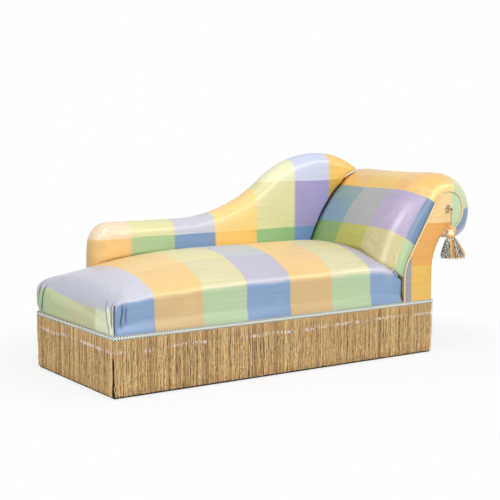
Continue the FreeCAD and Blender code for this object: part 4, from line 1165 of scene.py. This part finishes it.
def makeBraid(name, label):
    low, high, alongY, face, way = sideOf(name)
    first, last = (low.y, high.y) if alongY else (low.x, high.x)
    middleZ = (low.z + high.z) / 2

    def spot(along, depth, up):
        middle = face - way * depth
        return (middle, along, middleZ + up) if alongY else (along, middle, middleZ + up)

    radius = braid["edgeRadius"]
    edge = braid["halfTall"] - radius
    cords = []
    for up, tones in ((edge, braid["upperTones"]), (-edge, braid["lowerTones"])):
        line = evenly(spot(first + braid["edgeGap"], radius, up), spot(last - braid["edgeGap"], radius, up),
                      braid["edgeStep"])
        cords.append(twistedCord(f"{label}Edge", line, radius, braid["edgePitch"], tones, sides=5))
    outward = (way, 0, 0) if alongY else (0, way, 0)
    loops = loopRow(f"{label}Loops", spot(first + braid["loopGap"], braid["loopDepth"], 0),
                    spot(last - braid["loopGap"], braid["loopDepth"], 0), outward)
    backDepth, faceDepth, halfTall, gap = braid["ground"]
    corners = [spot(first + gap, backDepth, -halfTall), spot(last - gap, faceDepth, halfTall)]
    ground = block(np.min(corners, axis=0), np.max(corners, axis=0))
    applied(ground, "BEVEL", width=0.0008, segments=2)
    setAttribute(ground, "threadTone", [braid["groundTone"]] * len(ground.data.vertices))
    finish(joined(label, [ground] + cords + [loops]), "root", braidFinish, "braid_thread", [name])


for side, label in sides.items():
    makeBraid(f"{side}_braid", f"{label}Braid")
print("stage: braid")


# Fringe: thousands of slim twisted threads, in two rows on each side.

# part: how far the threads lean away from a corner, curl: how much they curl there, each over its reach;
# loose: how many stray threads hang at each end, and how far in
fringe = {"spacing": 0.0021, "radius": 0.00108, "top": 0.2290, "bottom": 0.0110, "uneven": 0.006,
          "lean": 0.007, "rows": (0.0015, 0.0040), "cornerGap": 0.0015, "rings": 7, "sides": 4,
          "wave": 0.0021, "bow": 0.0025,
          "part": 0.021, "partReach": 0.016, "curl": 0.0046, "curlReach": 0.02, "loose": 5,
          "looseInset": (0.001, 0.014), "edgeGap": 0.0005}
fringeFinish = fringeThread()


def oneThread():
    # A thread one metre long, hanging down from zero, a little thicker towards its end.
    deselect()
    bpy.ops.mesh.primitive_cylinder_add(vertices=fringe["sides"], radius=1, depth=1, location=(0, 0, -0.5))
    thread = bpy.context.object
    applyPlace(thread)
    editAll(thread)
    for level in range(1, fringe["rings"]):
        bpy.ops.mesh.select_all(action="SELECT")
        bpy.ops.mesh.bisect(plane_co=(0, 0, -level / fringe["rings"]), plane_no=(0, 0, 1))
    leaveEdit()
    found = points(thread)
    found[:, :2] *= (0.8 + 0.3 * -found[:, 2])[:, None]
    found[found[:, 2] < -0.999, :2] *= 0.55
    shape = found, [tuple(polygon.vertices) for polygon in thread.data.polygons]
    bpy.data.objects.remove(thread)
    return shape


threadShape, threadFaces = oneThread()
threadDown = -threadShape[:, 2]


def makeFringe(name, label, seed):
    low, high, alongY, face, way = sideOf(name)
    first, last = (low.y, high.y) if alongY else (low.x, high.x)
    chance = random.Random(seed)
    down = threadDown
    copies, tones = [], []
    for rowIndex, depth in enumerate(fringe["rows"] + (fringe["rows"][0],)):
        loose = rowIndex == len(fringe["rows"])
        inRow = int((last - first - 2 * fringe["cornerGap"]) / fringe["spacing"])
        for index in range(2 * fringe["loose"] if loose else inRow):
            along = first + fringe["cornerGap"] + (index + 0.5 + 0.5 * rowIndex) * fringe["spacing"]
            along += chance.uniform(-0.3, 0.3) * fringe["spacing"]
            if loose:
                inset = chance.uniform(*fringe["looseInset"])
                along = first + inset if index % 2 else last - inset
            clump = noise.noise(Vector((along * 38, rowIndex * 3.1, seed)))
            sway = fringe["lean"] * (0.55 * clump + 0.35 * chance.uniform(-1, 1))
            bow = fringe["bow"] * chance.uniform(-1, 1)
            thick = fringe["radius"] * chance.uniform(0.8, 1.2)
            length = fringe["top"] - fringe["bottom"] - abs(chance.gauss(0, 0.4)) * fringe["uneven"]
            toCorner = min(along - first, last - along)
            spread = math.exp(-toCorner / fringe["partReach"]) * fringe["part"]
            spread *= (1 if last - along > along - first else -1) * (0.25 if loose else 1)
            depthHere = depth + 0.0004 * chance.uniform(-1, 1)
            swing = np.sin(down * chance.uniform(7, 15) + chance.uniform(0, 6))
            wave = fringe["wave"] * swing * np.minimum(down * 3, 1)
            curl = fringe["curl"] * math.exp(-toCorner / fringe["curlReach"])
            wave += curl * down ** 1.5 * np.sin(down * chance.uniform(14, 26))
            offset = sway * down ** 1.4 + bow * np.sin(down * math.pi) + wave + spread * down ** 1.6
            across = np.clip(threadShape[:, 0] * thick + offset, first - along + fringe["edgeGap"],
                             last - along - fringe["edgeGap"])
            out = face - way * depthHere + threadShape[:, 1] * thick
            up = fringe["top"] + threadShape[:, 2] * length
            side = along + across
            copies.append(np.stack([out, side, up] if alongY else [side, out, up], axis=1))
            tone = 0.35 + 0.65 * chance.random() if loose else chance.random() ** 0.8
            tone = min(1.0, max(0.0, 0.75 * tone + 0.25 * (0.5 + clump)))
            tones.append(0.8 * tone if rowIndex == 0 else tone)
    piece = copiesPiece(label, copies, threadFaces, tones)
    editAll(piece)
    bpy.ops.mesh.normals_make_consistent(inside=False)
    leaveEdit()
    smoothShade(piece, 60)
    finish(piece, "root", fringeFinish, "fringe_thread", [name])
    print("   ", label, len(copies), "threads")


for seed, (side, label) in enumerate(sides.items(), start=1):
    makeFringe(f"{side}_fringe", f"{label}Fringe", seed)
print("stage: fringe")


# Dark lining behind the fringe and the dust cover under the seat.

lining = {"ripple": 0.0009, "waves": 34, "grid": (120, 12), "thick": 0.0008}
dust = {"grid": (96, 44), "sag": 0.004, "legGap": 0.004}
darkCloth = coarseWeave("darkCloth", shade(26, 24, 22), shade(58, 54, 50), 2600)


def clothGrid(label, grid):
    deselect()
    bpy.ops.mesh.primitive_grid_add(x_subdivisions=grid[0], y_subdivisions=grid[1], size=1)
    sheet = bpy.context.object
    sheet.name = label
    return sheet


def thicken(sheet):
    applied(sheet, "SOLIDIFY", thickness=lining["thick"], offset=0)
    cleanUp(sheet)


def makeLining(name, label):
    # A hanging strip with a slight ripple, thin as cloth.
    low, high, alongY, _, _ = sideOf(name)
    sheet = clothGrid(label, lining["grid"])
    found = points(sheet)
    length = (high.y - low.y) if alongY else (high.x - low.x)
    tall = high.z - low.z
    along = (found[:, 0] + 0.5) * length
    down = 0.5 - found[:, 1]
    ripple = lining["ripple"] * np.sin(along * lining["waves"]) * down * 0.6
    up = high.z - down * tall
    if alongY:
        setPoints(sheet, np.stack([(low.x + high.x) / 2 + ripple, low.y + along, up], axis=1))
    else:
        setPoints(sheet, np.stack([low.x + along, (low.y + high.y) / 2 + ripple, up], axis=1))
    thicken(sheet)
    smoothAll(sheet)
    finish(sheet, "root", darkCloth, "dark_cloth", [name])


for side, label in sides.items():
    makeLining(f"{side}_skirt_lining", f"{label}Lining")


def makeDustCover():
    # Black cloth tacked under the rails, with a slight sag between them and a hole for each leg.
    low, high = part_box("dust_cover")
    sheet = clothGrid("dustCover", dust["grid"])
    found = points(sheet)
    width, deep = high.x - low.x, high.y - low.y
    x = (found[:, 0] + 0.5) * width
    y = (found[:, 1] + 0.5) * deep
    sag = dust["sag"] * np.sin(math.pi * x / width) * np.sin(math.pi * y / deep)
    setPoints(sheet, np.stack([low.x + x, low.y + y, low.z - sag], axis=1))
    found = points(sheet)
    clear = np.ones(len(found), dtype=bool)
    for leg in ("foot_end_front_leg", "foot_end_rear_leg", "head_end_front_leg", "head_end_rear_leg"):
        legLow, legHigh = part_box(leg)
        middle = np.array([(legLow.x + legHigh.x) / 2, (legLow.y + legHigh.y) / 2])
        clear &= np.linalg.norm(found[:, :2] - middle, axis=1) > (legHigh.x - legLow.x) / 2 + dust["legGap"]
    selectSome(sheet, "VERT", ~clear)
    bpy.ops.mesh.delete(type="VERT")
    leaveEdit()
    thicken(sheet)
    finish(sheet, "root", darkCloth, "dark_cloth", ["dust_cover"])


makeDustCover()
print("stage: linings")


# The tassel: knot of cord, ring, cord, bound head and skirt of threads.

# cordRunOn: how far the cord runs on below the solid cord's foot, hidden in the head and skirt
tassel = {"knotRadius": 0.0085, "knotCord": 0.0027, "knotPitch": 0.0075, "knotLoops": 5,
          "ringRadius": 0.005, "ringCord": 0.0016, "ringPitch": 0.0052, "cordRadius": 0.003,
          "cordPitch": 0.0085, "cordStep": 0.0007, "cordRunOn": 0.045, "pivotDrop": 0.003,
          "headRings": 14, "ribs": 24, "ribDepth": 0.03, "bindRadius": 0.0016, "bindPitch": 0.006,
          "skirtThreads": 420, "threadRadius": 0.0014, "skirtTop": 0.0165, "skirtReach": 0.066,
          "lean": 0.012, "seed": 12}
# the head's outline: its radius at each share of the way down
headOutline = ([0, 0.05, 0.12, 0.2, 0.3, 0.5, 0.7, 0.85, 0.93, 1.0],
               [0.0045, 0.0072, 0.0078, 0.0064, 0.0085, 0.0118, 0.0150, 0.0172, 0.0170, 0.0178])
headTones = ([0, 0.25, 0.3, 0.8, 0.84, 1.0], [0.80, 0.80, 1.0, 1.0, 0.78, 0.78])
# how far down each binding lies, and its radius
headBindings = ((0.2, 0.0070), (0.27, 0.0082), (0.86, 0.0172), (0.95, 0.0176))
alongDepth = (0.0, 1.0, 0.0)
tasselFinish = tasselThread()
rosetteLow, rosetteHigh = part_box("tassel_rosette")
rosetteMiddle = Vector(((rosetteLow.x + rosetteHigh.x) / 2, rosetteHigh.y,
                        (rosetteLow.z + rosetteHigh.z) / 2))
cordLow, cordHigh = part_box("tassel_cord")
headLow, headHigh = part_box("tassel_head")
skirtLow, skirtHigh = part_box("tassel_skirt")
hang = Vector(((cordLow.x + cordHigh.x) / 2, (cordLow.y + cordHigh.y) / 2, 0))
pivot = Vector((hang.x, hang.y, cordHigh.z - tassel["pivotDrop"]))


def circle(steps):
    return [2 * math.pi * step / steps for step in range(steps + 1)]


def rosetteLoop(index):
    turn = 2 * math.pi * index / tassel["knotLoops"] + 0.3
    depth = 0.004 + 0.0016 * (index % 3)
    middle = rosetteMiddle + Vector((math.cos(turn), 0, math.sin(turn))) * tassel["knotRadius"]
    line = []
    for angle in circle(24):
        reach = 0.0078 + 0.0010 * math.sin(3 * angle + index)
        line.append(middle + Vector((math.cos(angle) * reach, -depth - 0.0015 * math.sin(angle + index),
                                     math.sin(angle) * reach * 1.15)))
    return twistedCord("rosetteLoop", line, tassel["knotCord"], tassel["knotPitch"],
                       [0.08, 1.0] if index % 2 else [0.7, 1.0], firstSide=alongDepth)


def makeRosette():
    # Loops of dark and pale cord lie over each other on the facing, round the shank.
    loops = [rosetteLoop(index) for index in range(tassel["knotLoops"])]
    x, z = rosetteMiddle.x, rosetteMiddle.z
    shank = evenly(rosetteMiddle + Vector((0, 0.001, 0)), (x, rosetteLow.y + 0.001, z), 0.001)
    loops.append(twistedCord("rosetteShank", shank, 0.0031, 0.009, [0.1, 0.8]))
    knob = evenly((x, rosetteLow.y + 0.0052, z), (x, rosetteLow.y + 0.0002, z), 0.0006)
    loops.append(twistedCord("rosetteKnob", knob, 0.0052, 0.012, [0.1, 0.3, 0.8]))
    finish(joined("tasselRosette", loops), "root", cordFinish, "tassel_thread", ["tassel_rosette"])


def makeRing():
    low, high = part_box("tassel_ring")
    middle = (low + high) / 2
    line = [middle + Vector((math.cos(turn), 0, math.sin(turn))) * tassel["ringRadius"]
            for turn in circle(40)]
    ring = twistedCord("tasselRing", line, tassel["ringCord"], tassel["ringPitch"], [0.1, 0.75],
                       firstSide=alongDepth)
    finish(ring, "tassel_hanger", cordFinish, "tassel_thread", ["tassel_ring"])


def makeTasselCord(withPieces):
    foot = cordLow.z - tassel["cordRunOn"]
    route = [(pivot.x, pivot.y, pivot.z), (pivot.x, pivot.y, (pivot.z + foot) / 2), (pivot.x, pivot.y, foot)]
    line = smoothLine("tasselCordPath", route, tassel["cordStep"])
    cord = twistedCord("tasselCord", line, tassel["cordRadius"], tassel["cordPitch"], [0.08, 0.9], sides=8,
                       firstSide=(1.0, 0.0, 0.0))
    finish(cord, "tassel", cordFinish, "tassel_thread", ["tassel_cord"])


def makeTasselHead():
    # A turned mould wound with silk: the rings are scaled one by one, then ribbed like thread.
    tall = headHigh.z - headLow.z
    deselect()
    bpy.ops.mesh.primitive_cylinder_add(vertices=48, radius=0.008, depth=tall, end_fill_type="NGON",
                                        location=(hang.x, hang.y, (headHigh.z + headLow.z) / 2))
    mould = bpy.context.object
    mould.name = "tasselHead"
    applyPlace(mould)
    editAll(mould)
    for level in range(1, tassel["headRings"]):
        bpy.ops.mesh.select_all(action="SELECT")
        bpy.ops.mesh.bisect(plane_co=(hang.x, hang.y, headLow.z + tall * level / tassel["headRings"]),
                            plane_no=(0, 0, 1))
    leaveEdit()
    found = points(mould)
    wide = np.interp((headHigh.z - found[:, 2]) / tall, *headOutline)
    turn = np.arctan2(found[:, 1] - hang.y, found[:, 0] - hang.x)
    rib = 1 + tassel["ribDepth"] * np.cos(tassel["ribs"] * turn)
    found[:, 0] = hang.x + np.cos(turn) * wide * rib
    found[:, 1] = hang.y + np.sin(turn) * wide * rib
    setPoints(mould, found)
    roundOff(mould)
    setAttribute(mould, "threadTone", np.interp((headHigh.z - points(mould)[:, 2]) / tall, *headTones))
    mould.data.materials.append(tasselFinish)
    wound = [mould]
    for share, reach in headBindings:
        z = headHigh.z - tall * share
        line = [Vector((hang.x + math.cos(turn) * reach, hang.y + math.sin(turn) * reach, z))
                for turn in circle(72)]
        ring = twistedCord("headBinding", line, tassel["bindRadius"], tassel["bindPitch"], [0.8, 0.92],
                           sides=5)
        ring.data.materials.append(tasselFinish)
        wound.append(ring)
    return finish(joined("tasselHead", wound), "tassel", None, "tassel_thread", ["tassel_head"])


def makeTasselSkirt():
    # Bundles of thread in several colours, flared and uneven, kept off the facing at the back.
    chance = random.Random(tassel["seed"])
    down = threadDown
    tall = skirtHigh.z - skirtLow.z
    copies, tones = [], []
    for index in range(tassel["skirtThreads"]):
        turn = 2 * math.pi * index / tassel["skirtThreads"] * 3 + chance.uniform(-0.05, 0.05)
        layer = (0.95, 0.72, 0.45)[index % 3]
        flare = layer * chance.uniform(0.82, 1.0)
        topReach = tassel["skirtTop"] * layer
        length = tall * chance.uniform(0.82, 0.995)
        thick = tassel["threadRadius"] * chance.uniform(0.8, 1.3)
        reach = topReach + (tassel["skirtReach"] * flare - topReach) * down ** 0.85
        angle = turn + 0.05 * chance.uniform(-1, 1) * down
        x = hang.x + np.cos(angle) * reach + threadShape[:, 0] * thick + tassel["lean"] * down
        y = hang.y + np.sin(angle) * reach + threadShape[:, 1] * thick
        z = skirtHigh.z + 0.002 + threadShape[:, 2] * length
        copies.append(np.stack([x, np.minimum(y, skirtHigh.y - 0.001), z], axis=1))
        # seen from the open front: dashed bundles with one of gold between them, and gold to the right
        fromMiddle = (math.degrees(turn) - 235 + 540) % 360 - 180
        if abs(fromMiddle + 4) < 13 or 58 < fromMiddle < 125:
            tones.append(chance.choice([0.78, 0.86, 0.9, 0.96, 0.9]))
        else:
            tones.append(chance.choice([0.1, 0.3, 0.5, 0.2, 0.4, 0.3, 0.96]))
    skirt = copiesPiece("tasselSkirt", copies, threadFaces, tones)
    cleanUp(skirt)
    smoothShade(skirt, 60)
    return finish(skirt, "tassel", tasselFinish, "tassel_thread", ["tassel_skirt"])


makeRosette()
makeRing()
makeTasselCord([makeTasselHead(), makeTasselSkirt()])
print("stage: tassel")


# Finishes of the solids that keep their own shape.

finishOfSlot = {"frame_wood": woodGrain("frameWood", shade(150, 112, 74), shade(206, 168, 122), 0.65),
                "leg_wood": woodGrain("legWood", shade(34, 20, 12), shade(74, 44, 26), 0.35, "z"),
                "steel": bareMetal("dullSteel", shade(150, 150, 152), 0.45),
                "spring_steel": bareMetal("springSteel", shade(140, 110, 84), 0.4),
                "webbing": coarseWeave("jute", shade(120, 96, 62), shade(186, 158, 112), 1400)}
for subpart in frame["record"]["subparts"]:
    material = finishOfSlot.get(subpart["material_slot"])
    if material:
        node = nodes[subpart["node"]]
        node.data.materials.clear()
        node.data.materials.append(material)
print("stage: rigid parts")
